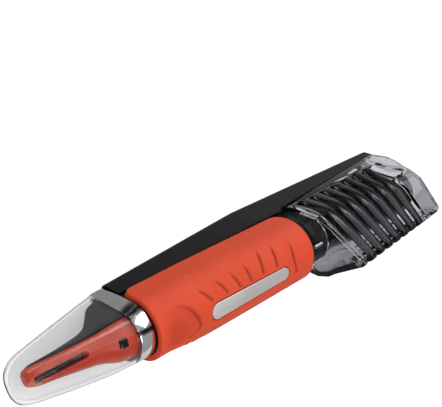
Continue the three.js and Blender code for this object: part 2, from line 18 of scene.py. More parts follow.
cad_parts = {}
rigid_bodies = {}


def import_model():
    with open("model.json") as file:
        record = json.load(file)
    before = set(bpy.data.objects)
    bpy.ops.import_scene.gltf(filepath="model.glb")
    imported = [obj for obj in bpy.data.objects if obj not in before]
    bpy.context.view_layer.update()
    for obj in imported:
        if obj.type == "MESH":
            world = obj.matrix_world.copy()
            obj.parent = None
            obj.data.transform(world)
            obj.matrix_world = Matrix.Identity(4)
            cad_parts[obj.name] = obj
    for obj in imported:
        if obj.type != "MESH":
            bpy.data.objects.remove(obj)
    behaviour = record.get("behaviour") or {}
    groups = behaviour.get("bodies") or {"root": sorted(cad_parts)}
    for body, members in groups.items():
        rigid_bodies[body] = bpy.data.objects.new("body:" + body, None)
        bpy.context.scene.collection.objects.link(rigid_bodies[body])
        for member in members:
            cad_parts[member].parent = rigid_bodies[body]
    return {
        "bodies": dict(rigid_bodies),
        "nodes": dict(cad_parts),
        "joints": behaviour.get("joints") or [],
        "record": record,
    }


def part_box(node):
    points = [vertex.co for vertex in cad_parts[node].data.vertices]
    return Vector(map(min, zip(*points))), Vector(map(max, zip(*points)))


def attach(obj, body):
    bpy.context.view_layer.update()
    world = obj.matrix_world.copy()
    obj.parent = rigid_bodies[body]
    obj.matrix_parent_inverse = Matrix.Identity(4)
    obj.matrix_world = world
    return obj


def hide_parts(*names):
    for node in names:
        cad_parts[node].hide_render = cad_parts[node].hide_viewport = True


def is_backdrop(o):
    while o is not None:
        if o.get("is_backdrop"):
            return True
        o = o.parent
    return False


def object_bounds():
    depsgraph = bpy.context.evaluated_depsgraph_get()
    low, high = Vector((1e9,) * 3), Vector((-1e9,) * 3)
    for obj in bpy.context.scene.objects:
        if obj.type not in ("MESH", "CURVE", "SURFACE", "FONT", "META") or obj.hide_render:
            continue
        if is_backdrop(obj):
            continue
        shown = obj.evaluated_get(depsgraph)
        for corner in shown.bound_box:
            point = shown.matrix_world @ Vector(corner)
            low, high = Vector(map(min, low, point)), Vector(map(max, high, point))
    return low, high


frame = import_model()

log = logging.getLogger("trimmer")

MM = 0.001
LEAN = math.radians(28.0)
AXIS_Y = -4.8
BARREL_END = 74.0
BODY_END = 141.5

Point2 = tuple[float, float]
Point3 = tuple[float, float, float]
Ring = list[Point3]
Colour = tuple[float, float, float]


class Body(str, Enum):
    """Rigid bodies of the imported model."""

    BARREL = "barrel"
    GRIP = "grip"
    CAP = "cap"
    COMB = "comb"
    WIDE_BLADE = "wide_blade"
    WIDE_DRIVE = "wide_drive"
    DETAIL_BLADE = "detail_blade"
    DETAIL_DRIVE = "detail_drive"
    SWITCH = "power_switch"


# ------------------------------------------------------------------ frame and meshes
class BuildFrame:
    """Turns points of the trimmer's own axes into the row frame."""

    def __init__(self) -> None:
        """Finds the shift from the battery's and the circuit board's place."""
        low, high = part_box("battery")
        board_low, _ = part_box("circuit_board")
        board_start = 18.0
        self.cos = math.cos(LEAN)
        self.sin = math.sin(LEAN)
        self.x0 = board_low[0] / MM - board_start
        self.y0 = (low[1] + high[1]) / 2 / MM - AXIS_Y * self.cos
        self.z0 = (low[2] + high[2]) / 2 / MM + AXIS_Y * self.sin

    def turn(self, x: float, y: float, z: float) -> Vector:
        """Turns a direction into the row frame."""
        return Vector((x, y * self.cos + z * self.sin, -y * self.sin + z * self.cos))

    def place(self, x: float, y: float, z: float) -> Vector:
        """Puts a point, given in millimetres, into the row frame in metres."""
        return (self.turn(x, y, z) + Vector((self.x0, self.y0, self.z0))) * MM

    def unplace(self, point: Vector) -> Vector:
        """Turns a point of the row frame back into millimetres of the trimmer's own axes."""
        x, y, z = point / MM - Vector((self.x0, self.y0, self.z0))
        return Vector((x, y * self.cos - z * self.sin, y * self.sin + z * self.cos))


def smoothstep(low: float, high: float, value: float) -> float:
    """Rises smoothly from 0 at low to 1 at high; low may be above high."""
    share = min(max((value - low) / (high - low), 0.0), 1.0)
    return share * share * (3.0 - 2.0 * share)


def mix(a: float, b: float, share: float) -> float:
    """Returns the value a share of the way from a to b."""
    return a + (b - a) * share


def eased(start: float, end: float, count: int) -> list[float]:
    """Returns places from start to end, closer together near both ends."""
    return [mix(start, end, 0.5 - 0.5 * math.cos(math.pi * i / count)) for i in range(count + 1)]


def swell(low: float, high: float, reach: float, x: float) -> float:
    """Eases a size from low to high over a length of reach."""
    return low + (high - low) * math.sin(min(max(x / reach, 0.0), 1.0) * math.pi / 2)


class MeshMaker:
    """Collects vertices and faces in millimetres and makes pieces of them."""

    def __init__(self) -> None:
        """Starts with nothing."""
        self.points: Ring = []
        self.faces: list[tuple[int, ...]] = []

    def loft(self, rings: list[Ring], closed: bool = True, caps: bool = True) -> "MeshMaker":
        """Adds a skin through rings of equal point count.

        Args:
            rings: Outlines in order.
            closed: Whether each outline is a closed loop.
            caps: Whether the first and the last outline are filled.

        Returns:
            The maker itself.
        """
        base = len(self.points)
        count = len(rings[0])
        for ring in rings:
            self.points.extend(ring)
        span = count if closed else count - 1
        for r in range(len(rings) - 1):
            for i in range(span):
                a = base + r * count + i
                b = base + r * count + (i + 1) % count
                self.faces.append((a, b, b + count, a + count))
        if caps:
            self.faces.append(tuple(base + i for i in range(count)))
            last = base + (len(rings) - 1) * count
            self.faces.append(tuple(last + count - 1 - i for i in range(count)))
        return self

    def piece(self, name: str, frame: BuildFrame, sharp: float = 35.0) -> bpy.types.Object:
        """Makes an object of what was collected.

        Args:
            name: Name of the piece.
            frame: Turns the points into the row frame.
            sharp: Faces meeting at a larger angle, in degrees, keep a sharp edge.

        Returns:
            The new object, at the origin, with its faces pointing outwards.
        """
        mesh = bpy.data.meshes.new(name)
        mesh.from_pydata([frame.place(*p) for p in self.points], [], self.faces)
        work = bmesh.new()
        work.from_mesh(mesh)
        bmesh.ops.remove_doubles(work, verts=work.verts, dist=1e-7)
        bmesh.ops.recalc_face_normals(work, faces=work.faces)
        if work.calc_volume(signed=True) < 0:
            bmesh.ops.reverse_faces(work, faces=work.faces)
        work.to_mesh(mesh)
        work.free()
        piece = bpy.data.objects.new(name, mesh)
        bpy.context.scene.collection.objects.link(piece)
        smooth_by_angle(piece, sharp)
        return piece


def smooth_by_angle(piece: bpy.types.Object, degrees: float) -> None:
    """Shades a piece smooth but for edges sharper than the given angle."""
    piece.data.shade_smooth()
    piece.data.set_sharp_from_angle(angle=math.radians(degrees))


def bake_modifiers(piece: bpy.types.Object) -> bpy.types.Object:
    """Turns the evaluated shape of a piece into its own mesh and drops its modifiers."""
    bpy.context.view_layer.update()
    graph = bpy.context.evaluated_depsgraph_get()
    mesh = bpy.data.meshes.new_from_object(piece.evaluated_get(graph))
    old = piece.data
    piece.modifiers.clear()
    piece.data = mesh
    bpy.data.meshes.remove(old)
    return piece


def cut(piece: bpy.types.Object, *tools: bpy.types.Object, sharp: float = 35.0) -> bpy.types.Object:
    """Cuts closed tools out of a closed piece and removes the tools."""
    for tool in tools:
        modifier = piece.modifiers.new("cut", "BOOLEAN")
        modifier.operation = "DIFFERENCE"
        modifier.solver = "EXACT"
        modifier.object = tool
        bake_modifiers(piece)
        bpy.data.objects.remove(tool)
    smooth_by_angle(piece, sharp)
    return piece


def soften(piece: bpy.types.Object, width: float, segments: int = 2, sharp: float = 40.0) -> bpy.types.Object:
    """Rounds the sharp edges of a piece by a width in millimetres."""
    modifier = piece.modifiers.new("round", "BEVEL")
    modifier.width = width * MM
    modifier.segments = segments
    modifier.limit_method = "ANGLE"
    modifier.angle_limit = math.radians(38.0)
    modifier.use_clamp_overlap = True
    bake_modifiers(piece)
    smooth_by_angle(piece, sharp)
    return piece


def prism(outline: list[Point2], start: float, end: float) -> MeshMaker:
    """A straight solid along X from an outline in Y and Z."""
    return MeshMaker().loft([[(x, y, z) for y, z in outline] for x in (start, end)])


# ------------------------------------------------------------------ the teardrop section
@dataclass(frozen=True)
class Teardrop:
    """Belly circle with straight flanks up to a small round spine edge."""

    top: float
    bottom: float
    radius: float
    edge: float

    @staticmethod
    def about_axis(radius: float, edge: float) -> "Teardrop":
        """The section whose belly circle lies about the barrel's axis."""
        top = AXIS_Y + (radius - edge) / math.sin(LEAN) + edge
        return Teardrop(top, AXIS_Y - radius, radius, edge)

    @property
    def centre(self) -> float:
        """Height of the belly circle's centre."""
        return self.bottom + self.radius

    @property
    def lean(self) -> float:
        """How far the flanks lean from the middle plane."""
        return math.asin((self.radius - self.edge) / (self.top - self.edge - self.centre))

    def inset(self, by: float) -> "Teardrop":
        """The section drawn in by a distance all round."""
        return Teardrop(self.top - by, self.bottom + by, self.radius - by, max(self.edge - by, 0.15))

    def half(self, edge_steps: int = 6, flank_steps: int = 8, belly_steps: int = 18) -> list[Point2]:
        """Front half of the outline, from the spine down to the lowest point."""
        lean = self.lean
        edge_centre = self.top - self.edge
        points = []
        for i in range(edge_steps + 1):
            angle = (math.pi / 2 - lean) * i / edge_steps
            points.append((edge_centre + self.edge * math.cos(angle), self.edge * math.sin(angle)))
        start = points[-1]
        angle = math.pi / 2 - lean
        end = (self.centre + self.radius * math.cos(angle), self.radius * math.sin(angle))
        for i in range(1, flank_steps):
            points.append((mix(start[0], end[0], i / flank_steps), mix(start[1], end[1], i / flank_steps)))
        for i in range(belly_steps + 1):
            angle = math.pi / 2 - lean + (math.pi / 2 + lean) * i / belly_steps
            points.append((self.centre + self.radius * math.cos(angle), self.radius * math.sin(angle)))
        return points

    def outline(self, **steps: int) -> list[Point2]:
        """The whole outline as a closed loop."""
        front = self.half(**steps)
        return front + [(y, -z) for y, z in reversed(front[1:-1])]

    def width(self, y: float) -> float:
        """Half width at a height."""
        lean = self.lean
        if y > self.top - self.edge + self.edge * math.sin(lean):
            return math.sqrt(max(self.edge ** 2 - (y - self.top + self.edge) ** 2, 0.0))
        if y > self.centre + self.radius * math.sin(lean):
            return (self.radius - (y - self.centre) * math.sin(lean)) / math.cos(lean)
        return math.sqrt(max(self.radius ** 2 - (y - self.centre) ** 2, 0.0))

    def roof(self, low: float, steps: int) -> list[Point2]:
        """Outline above a height, from the front edge over the spine to the rear edge."""
        drop = [mix(low, self.top, math.sin(math.pi / 2 * i / steps)) for i in range(steps)]
        front = [(y, self.width(y)) for y in drop]
        return front + [(self.top, 0.0)] + [(y, -z) for y, z in reversed(front)]


def round_belly_arc(radius: float) -> float:
    """Arc length from the lowest point of a section to where its flank begins."""
    return radius * (math.pi / 2 + LEAN)


def on_skin(radius: float, arc: float, out: float = 0.0) -> Point2:
    """A point on a section about the barrel's axis.

    Args:
        radius: Belly radius of the section.
        arc: Arc length from the lowest point; positive on the front, negative on the rear.
        out: Distance out from the skin.

    Returns:
        Height and depth of the point.
    """
    side = 1.0 if arc >= 0 else -1.0
    past = abs(arc) - round_belly_arc(radius)
    if past > 0:
        y = AXIS_Y + (radius + out) * math.sin(LEAN) + past * math.cos(LEAN)
        z = (radius + out) * math.cos(LEAN) - past * math.sin(LEAN)
    else:
        angle = math.pi - abs(arc) / radius
        y = AXIS_Y + (radius + out) * math.cos(angle)
        z = (radius + out) * math.sin(angle)
    return y, z * side


def arc_at_height(radius: float, y: float) -> float:
    """Arc length on the front skin at which a height is reached."""
    if y > AXIS_Y + radius * math.sin(LEAN):
        return round_belly_arc(radius) + (y - AXIS_Y - radius * math.sin(LEAN)) / math.cos(LEAN)
    return radius * (math.pi - math.acos(max(min((y - AXIS_Y) / radius, 1.0), -1.0)))


def far_roof_edge(x: float) -> float:
    """Height of the roof's lower edge over the wide head."""
    return mix(7.6, 13.0, (x - BARREL_END) / (BODY_END - BARREL_END))


# ------------------------------------------------------------------ finishes
class Nodes:
    """Short ways to add and link nodes of one tree."""

    def __init__(self, tree: bpy.types.NodeTree) -> None:
        """Works on the given tree."""
        self.tree = tree

    def add(self, kind: str, inputs: Optional[dict] = None, **settings: object) -> bpy.types.Node:
        """Adds a node, sets its properties, and sets or links its inputs."""
        node = self.tree.nodes.new(kind)
        for name, value in settings.items():
            setattr(node, name, value)
        for key, value in (inputs or {}).items():
            if isinstance(value, bpy.types.NodeSocket):
                self.tree.links.new(value, node.inputs[key])
            else:
                node.inputs[key].default_value = value
        return node

    def link(self, out: bpy.types.NodeSocket, into: bpy.types.NodeSocket) -> None:
        """Links an output to an input."""
        self.tree.links.new(out, into)


class EffectGroups:
    """Shader node groups that several finishes use."""

    def __init__(self) -> None:
        """Builds both groups."""
        self.grain = self._grain()
        self.wear = self._wear()

    @staticmethod
    def _new(name: str, inputs: dict[str, float], outputs: list[str]) -> bpy.types.NodeTree:
        """Makes an empty group with a vector input, number inputs and number outputs."""
        tree = bpy.data.node_groups.new(name, "ShaderNodeTree")
        tree.interface.new_socket("Vector", in_out="INPUT", socket_type="NodeSocketVector")
        for title, value in inputs.items():
            socket = tree.interface.new_socket(title, in_out="INPUT", socket_type="NodeSocketFloat")
            socket.default_value = value
        for title in outputs:
            tree.interface.new_socket(title, in_out="OUTPUT", socket_type="NodeSocketFloat")
        return tree

    def _grain(self) -> bpy.types.NodeTree:
        """Fine moulded grain with broad unevenness: a height, a roughness and a tone mask."""
        tree = self._new("moulded_grain", {"Scale": 2500.0, "Rough Low": 0.3, "Rough High": 0.5},
                         ["Height", "Roughness", "Tone"])
        nodes = Nodes(tree)
        into = nodes.add("NodeGroupInput")
        fine = nodes.add("ShaderNodeTexNoise", {"Vector": into.outputs["Vector"],
                                                "Scale": into.outputs["Scale"], "Detail": 3.0})
        broad = nodes.add("ShaderNodeTexNoise", {"Vector": into.outputs["Vector"], "Scale": 70.0,
                                                 "Detail": 4.0})
        both = nodes.add("ShaderNodeMath", {0: fine.outputs["Fac"], 1: broad.outputs["Fac"]},
                         operation="ADD")
        rough = nodes.add("ShaderNodeMapRange", {"Value": both.outputs[0], "From Min": 0.7, "From Max": 1.3,
                                                 "To Min": into.outputs["Rough Low"],
                                                 "To Max": into.outputs["Rough High"]})
        out = nodes.add("NodeGroupOutput")
        nodes.link(fine.outputs["Fac"], out.inputs["Height"])
        nodes.link(rough.outputs["Result"], out.inputs["Roughness"])
        nodes.link(broad.outputs["Fac"], out.inputs["Tone"])
        return tree

    def _wear(self) -> bpy.types.NodeTree:
        """Mask of edges that handling has rubbed, broken up by noise."""
        tree = self._new("rubbed_edges", {"Amount": 0.5}, ["Mask"])
        nodes = Nodes(tree)
        into = nodes.add("NodeGroupInput")
        shape = nodes.add("ShaderNodeNewGeometry")
        edge = nodes.add("ShaderNodeMapRange", {"Value": shape.outputs["Pointiness"], "From Min": 0.52,
                                                "From Max": 0.62})
        noise = nodes.add("ShaderNodeTexNoise", {"Vector": into.outputs["Vector"], "Scale": 900.0,
                                                 "Detail": 3.0})
        broken = nodes.add("ShaderNodeMath", {0: edge.outputs["Result"], 1: noise.outputs["Fac"]},
                           operation="MULTIPLY")
        scaled = nodes.add("ShaderNodeMath", {0: broken.outputs[0], 1: into.outputs["Amount"]},
                           operation="MULTIPLY", use_clamp=True)
        out = nodes.add("NodeGroupOutput")
        nodes.link(scaled.outputs[0], out.inputs["Mask"])
        return tree


@dataclass(frozen=True)
class Finish:
    """One finish: colours, gloss, grain, wear, and on some finishes painted shade read from the piece's own
    attribute.
    """

    name: str
    slot: str
    base: Colour
    tint: Colour
    rubbed: Colour = (0.5, 0.5, 0.5)
    rough: tuple[float, float] = (0.3, 0.45)
    grain: float = 2500.0
    bump: float = 0.05
    stretch: tuple[float, float, float] = (1.0, 1.0, 1.0)
    metallic: float = 0.0
    coat: float = 0.0
    transmission: float = 0.0
    ior: float = 1.46
    wear: float = 0.4
    specular: float = 0.5
    # Painted shade: an attribute of the piece darkens the colour, down to the share given below, for crease
    # shade on the grip and dark reflection bands on the chrome.
    painted_shade_mask: Optional[str] = None
    rim: Optional[float] = None
    painted_shade_darkest: float = 0.42

    def material(self, groups: EffectGroups) -> bpy.types.Material:
        """Builds the node material of this finish.

        Args:
            groups: The shared effect groups.

        Returns:
            The new material.
        """
        material = bpy.data.materials.new(self.name)
        material.use_nodes = True
        tree = material.node_tree
        tree.nodes.clear()
        nodes = Nodes(tree)
        where = nodes.add("ShaderNodeTexCoord")
        mapped = nodes.add("ShaderNodeMapping", {"Vector": where.outputs["Object"], "Scale": self.stretch})
        grain = nodes.add("ShaderNodeGroup", node_tree=groups.grain)
        wear = nodes.add("ShaderNodeGroup", node_tree=groups.wear)
        nodes.link(mapped.outputs["Vector"], grain.inputs["Vector"])
        nodes.link(where.outputs["Object"], wear.inputs["Vector"])
        grain.inputs["Scale"].default_value = self.grain
        grain.inputs["Rough Low"].default_value = self.rough[0]
        grain.inputs["Rough High"].default_value = self.rough[1]
        wear.inputs["Amount"].default_value = self.wear
        tone = nodes.add("ShaderNodeMapRange", {"Value": grain.outputs["Tone"], "From Min": 0.35,
                                                "From Max": 0.65})
        colour = nodes.add("ShaderNodeMix", {"Factor": tone.outputs["Result"]}, data_type="RGBA")
        self._set_colour(colour, self.base, self.tint)
        worn = nodes.add("ShaderNodeMix", data_type="RGBA")
        self._set_colour(worn, self.base, self.rubbed)
        nodes.link(wear.outputs["Mask"], worn.inputs[0])
        nodes.link(self._with_painted_shade(nodes, colour.outputs[2]), worn.inputs[6])
        bump = nodes.add("ShaderNodeBump", {"Height": grain.outputs["Height"], "Strength": self.bump,
                                            "Distance": 0.0002})
        shader = nodes.add("ShaderNodeBsdfPrincipled", {
            "Base Color": worn.outputs[2], "Roughness": grain.outputs["Roughness"],
            "Normal": bump.outputs["Normal"], "Metallic": self.metallic, "Coat Weight": self.coat,
            "Coat Roughness": 0.05, "Transmission Weight": self.transmission, "IOR": self.ior,
            "Specular IOR Level": self.specular})
        end = nodes.add("ShaderNodeOutputMaterial")
        nodes.link(shader.outputs["BSDF"], end.inputs["Surface"])
        material.diffuse_color = (*self.base, 1.0)
        return material

    def _with_painted_shade(self, nodes: Nodes, colour: bpy.types.NodeSocket) -> bpy.types.NodeSocket:
        """Paints shade and dark reflection into a colour by the piece's own attribute: shade in the grip's
        creases and scoops, dark reflection bands on the chrome collar.
        """
        if self.painted_shade_mask is None:
            return self._rimmed(nodes, colour)
        depth = nodes.add("ShaderNodeAttribute", attribute_name=self.painted_shade_mask)
        deep = nodes.add("ShaderNodeMix", data_type="RGBA")
        self._set_colour(deep, self.base, tuple(value * self.painted_shade_darkest for value in self.base))
        nodes.link(depth.outputs["Fac"], deep.inputs[0])
        nodes.link(colour, deep.inputs[6])
        return deep.outputs[2]

    def _rimmed(self, nodes: Nodes, colour: bpy.types.NodeSocket) -> bpy.types.NodeSocket:
        """Deepens a clear wall where it is seen edge on and the light's way through it is long."""
        if self.rim is None:
            return colour
        facing = nodes.add("ShaderNodeLayerWeight", {"Blend": 0.35})
        narrow = nodes.add("ShaderNodeMapRange", {"Value": facing.outputs["Facing"], "From Min": 0.35,
                                                  "From Max": 0.95})
        deep = nodes.add("ShaderNodeMix", data_type="RGBA")
        self._set_colour(deep, self.base, tuple(value * self.rim for value in self.base))
        nodes.link(narrow.outputs["Result"], deep.inputs[0])
        nodes.link(colour, deep.inputs[6])
        return deep.outputs[2]

    @staticmethod
    def _set_colour(node: bpy.types.Node, a: Colour, b: Colour) -> None:
        """Sets the two colour inputs of a colour Mix node."""
        node.inputs[6].default_value = (*a, 1.0)
        node.inputs[7].default_value = (*b, 1.0)


class Look(Enum):
    """Every finish on the trimmer."""

    GLOSS_BLACK = Finish("gloss_black", "black_gloss", (0.0035, 0.0033, 0.0042), (0.0060, 0.0056, 0.0066),
                         (0.06, 0.06, 0.065), (0.20, 0.34), 3000.0, 0.05, specular=0.08)
    SATIN_BLACK = Finish("satin_black", "black_satin", (0.0030, 0.0028, 0.0040), (0.0055, 0.0052, 0.0065),
                         (0.08, 0.08, 0.08), (0.38, 0.52), 4200.0, 0.12, specular=0.10)
    # Soft orange with painted shade in the creases and thumb scoops, from the grip's stored attribute.
    SOFT_ORANGE = Finish("soft_orange", "soft_orange", (0.60, 0.063, 0.025), (0.56, 0.056, 0.021),
                         (0.74, 0.15, 0.09), (0.48, 0.62), 5200.0, 0.10, specular=0.15,
                         painted_shade_mask="pressed")
    HARD_ORANGE = Finish("hard_orange", "hard_orange", (0.60, 0.055, 0.024), (0.55, 0.047, 0.020),
                         (0.80, 0.25, 0.16), (0.24, 0.36), 3200.0, 0.03, specular=0.25)
    BRUSHED = Finish("brushed_silver", "brushed_silver", (0.47, 0.45, 0.43), (0.62, 0.60, 0.58),
                     (0.9, 0.9, 0.9), (0.36, 0.56), 2600.0, 0.34, (0.35, 1.0, 1.0), metallic=0.35)
    # Chrome with painted reflection: dark bands from the collar's stored attribute take it down to 3% of its
    # colour.
    CHROME = Finish("chrome", "chrome", (0.95, 0.95, 0.96), (0.92, 0.92, 0.93), (0.97, 0.97, 0.97),
                    (0.10, 0.15), 1500.0, 0.01, metallic=1.0, painted_shade_mask="shade", painted_shade_darkest=0.03)
    CLEAR = Finish("clear_plastic", "clear_plastic", (0.93, 0.93, 0.935), (0.89, 0.89, 0.90),
                   (1.0, 1.0, 1.0), (0.01, 0.05), 1200.0, 0.003, transmission=1.0, ior=1.25,
                   specular=0.06, rim=0.25)
    SMOKE = Finish("smoke_plastic", "smoke_plastic", (0.58, 0.58, 0.61), (0.52, 0.52, 0.55),
                   (0.8, 0.8, 0.84), (0.02, 0.07), 1500.0, 0.003, transmission=1.0, ior=1.36, specular=0.3,
                   rim=0.08)
    # Darker copy of the smoke plastic: painted shade for the ribs, which stand in front of the dark head.
    SMOKE_RIB_PAINTED_SHADE = Finish("smoke_rib_painted_shade", "smoke_plastic", (0.022, 0.024, 0.031), (0.012, 0.013, 0.018),
                       (0.26, 0.27, 0.30), (0.03, 0.10), 1500.0, 0.008, transmission=1.0, ior=1.34,
                       specular=0.15)
    STEEL = Finish("blade_steel", "steel", (0.58, 0.59, 0.60), (0.48, 0.49, 0.50), (0.85, 0.85, 0.85),
                   (0.16, 0.32), 2400.0, 0.15, (0.4, 1.0, 1.0), metallic=1.0)
    # Darker copy of the blade steel: painted shade for the recessed detail blades.
    STEEL_PAINTED_SHADE = Finish("steel_with_painted_shade", "steel", (0.15, 0.145, 0.14), (0.07, 0.068, 0.066), (0.5, 0.5, 0.5),
                        (0.25, 0.45), 2400.0, 0.15, (0.4, 1.0, 1.0), metallic=1.0)
    BRASS = Finish("brass", "brass", (0.55, 0.40, 0.16), (0.48, 0.34, 0.13), (0.8, 0.65, 0.35),
                   (0.25, 0.40), 2000.0, 0.08, metallic=1.0)
    BOARD = Finish("board_green", "board_green", (0.03, 0.14, 0.05), (0.02, 0.10, 0.04),
                   (0.3, 0.4, 0.2), (0.35, 0.5), 1500.0, 0.2)
    WRAP = Finish("battery_wrap", "battery_wrap", (0.05, 0.15, 0.25), (0.04, 0.12, 0.21),
                  (0.4, 0.45, 0.5), (0.25, 0.4), 900.0, 0.1)
    LAMP = Finish("lamp_white", "lamp_white", (0.85, 0.84, 0.76), (0.80, 0.79, 0.72), (1.0, 1.0, 1.0),
                  (0.1, 0.2), 900.0, 0.02)


class Workshop:
    """Holds the frame and the materials, and finishes pieces."""

    def __init__(self) -> None:
        """Builds the frame and every material."""
        self.frame = BuildFrame()
        self.groups = EffectGroups()
        self.materials = {look: look.value.material(self.groups) for look in Look}

    def dress(self, piece: bpy.types.Object, look: Look) -> None:
        """Gives a piece one material."""
        piece.data.materials.clear()
        piece.data.materials.append(self.materials[look])

    def fit(self, piece: bpy.types.Object, look: Look, body: Body, *nodes: str) -> bpy.types.Object:
        """Dresses a piece, rides it on a body and lets it stand for CAD nodes.

        Args:
            piece: The finished piece.
            look: Its finish.
            body: The body that it moves with.
            nodes: CAD nodes that it replaces.

        Returns:
            The piece.
        """
        self.dress(piece, look)
        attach(piece, body.value)
        if nodes:
            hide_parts(*nodes)
        log.info("%s: %d faces on %s", piece.name, len(piece.data.polygons), body.value)
        return piece


# ------------------------------------------------------------------ repeats by Geometry Nodes
class RowOfPlates:
    """A Geometry Nodes tree that thickens a flat face and repeats it along X."""

    def __init__(self) -> None:
        """Builds the tree."""
        tree = bpy.data.node_groups.new("row_of_plates", "GeometryNodeTree")
        face = tree.interface
        face.new_socket("Geometry", in_out="INPUT", socket_type="NodeSocketGeometry")
        self.ids = {}
        for title, kind in (("Count", "Int"), ("Pitch", "Float"), ("Thickness", "Float"),
                            ("Shrink", "Float"), ("Pivot", "Vector"), ("Material", "Material")):
            socket = face.new_socket(title, in_out="INPUT", socket_type=f"NodeSocket{kind}")
            self.ids[title] = socket.identifier
        face.new_socket("Geometry", in_out="OUTPUT", socket_type="NodeSocketGeometry")
        nodes = Nodes(tree)
        into = nodes.add("NodeGroupInput")
        along = nodes.add("ShaderNodeCombineXYZ", {"X": into.outputs["Thickness"]})
        grown = nodes.add("GeometryNodeExtrudeMesh", {"Mesh": into.outputs["Geometry"],
                                                      "Offset": along.outputs[0], "Offset Scale": 1.0,
                                                      "Individual": False})
        flipped = nodes.add("GeometryNodeFlipFaces", {"Mesh": into.outputs["Geometry"]})
        closed = nodes.add("GeometryNodeJoinGeometry")
        nodes.link(grown.outputs["Mesh"], closed.inputs[0])
        nodes.link(flipped.outputs["Mesh"], closed.inputs[0])
        merged = nodes.add("GeometryNodeMergeByDistance", {"Geometry": closed.outputs[0],
                                                           "Distance": 1e-6})
        minus = nodes.add("ShaderNodeVectorMath", {0: into.outputs["Pivot"]}, operation="SCALE")
        minus.inputs["Scale"].default_value = -1.0
        centred = nodes.add("GeometryNodeTransform", {"Geometry": merged.outputs[0],
                                                      "Translation": minus.outputs[0]})
        step = nodes.add("ShaderNodeCombineXYZ", {"X": into.outputs["Pitch"]})
        line = nodes.add("GeometryNodeMeshLine", {"Count": into.outputs["Count"],
                                                  "Start Location": into.outputs["Pivot"],
                                                  "Offset": step.outputs[0]})
        index = nodes.add("GeometryNodeInputIndex")
        lessened = nodes.add("ShaderNodeMath", {0: index.outputs[0], 1: into.outputs["Shrink"]},
                             operation="MULTIPLY")
        size = nodes.add("ShaderNodeMath", {0: 1.0, 1: lessened.outputs[0]}, operation="SUBTRACT")
        scale = nodes.add("ShaderNodeCombineXYZ", {"X": 1.0, "Y": size.outputs[0], "Z": size.outputs[0]})
        spread = nodes.add("GeometryNodeInstanceOnPoints", {"Points": line.outputs[0],
                                                            "Instance": centred.outputs[0],
                                                            "Scale": scale.outputs[0]})
        real = nodes.add("GeometryNodeRealizeInstances", {"Geometry": spread.outputs[0]})
        painted = nodes.add("GeometryNodeSetMaterial", {"Geometry": real.outputs[0],
                                                        "Material": into.outputs["Material"]})
        out = nodes.add("NodeGroupOutput")
        nodes.link(painted.outputs[0], out.inputs[0])
        self.tree = tree

    def spread(self, piece: bpy.types.Object, sizes: dict[str, object]) -> bpy.types.Object:
        """Repeats a flat face along X and keeps the result as a plain mesh.

        Args:
            piece: Holds the flat face of the first plate, facing away from the row.
            sizes: Values of the tree's named inputs, in metres.

        Returns:
            The piece with its new mesh.
        """
        modifier = piece.modifiers.new("row", "NODES")
        modifier.node_group = self.tree
        for title, value in sizes.items():
            modifier[self.ids[title]] = value
        bake_modifiers(piece)
        work = bmesh.new()
        work.from_mesh(piece.data)
        bmesh.ops.remove_doubles(work, verts=work.verts, dist=1e-7)
        bmesh.ops.recalc_face_normals(work, faces=work.faces)
        work.to_mesh(piece.data)
        work.free()
        return piece


def join(name: str, *pieces: bpy.types.Object) -> bpy.types.Object:
    """Puts the meshes of several pieces into one new piece and removes them."""
    work = bmesh.new()
    for piece in pieces:
        work.from_mesh(piece.data)
    mesh = bpy.data.meshes.new(name)
    work.to_mesh(mesh)
    work.free()
    for piece in pieces:
        bpy.data.objects.remove(piece)
    whole = bpy.data.objects.new(name, mesh)
    bpy.context.scene.collection.objects.link(whole)
    return whole


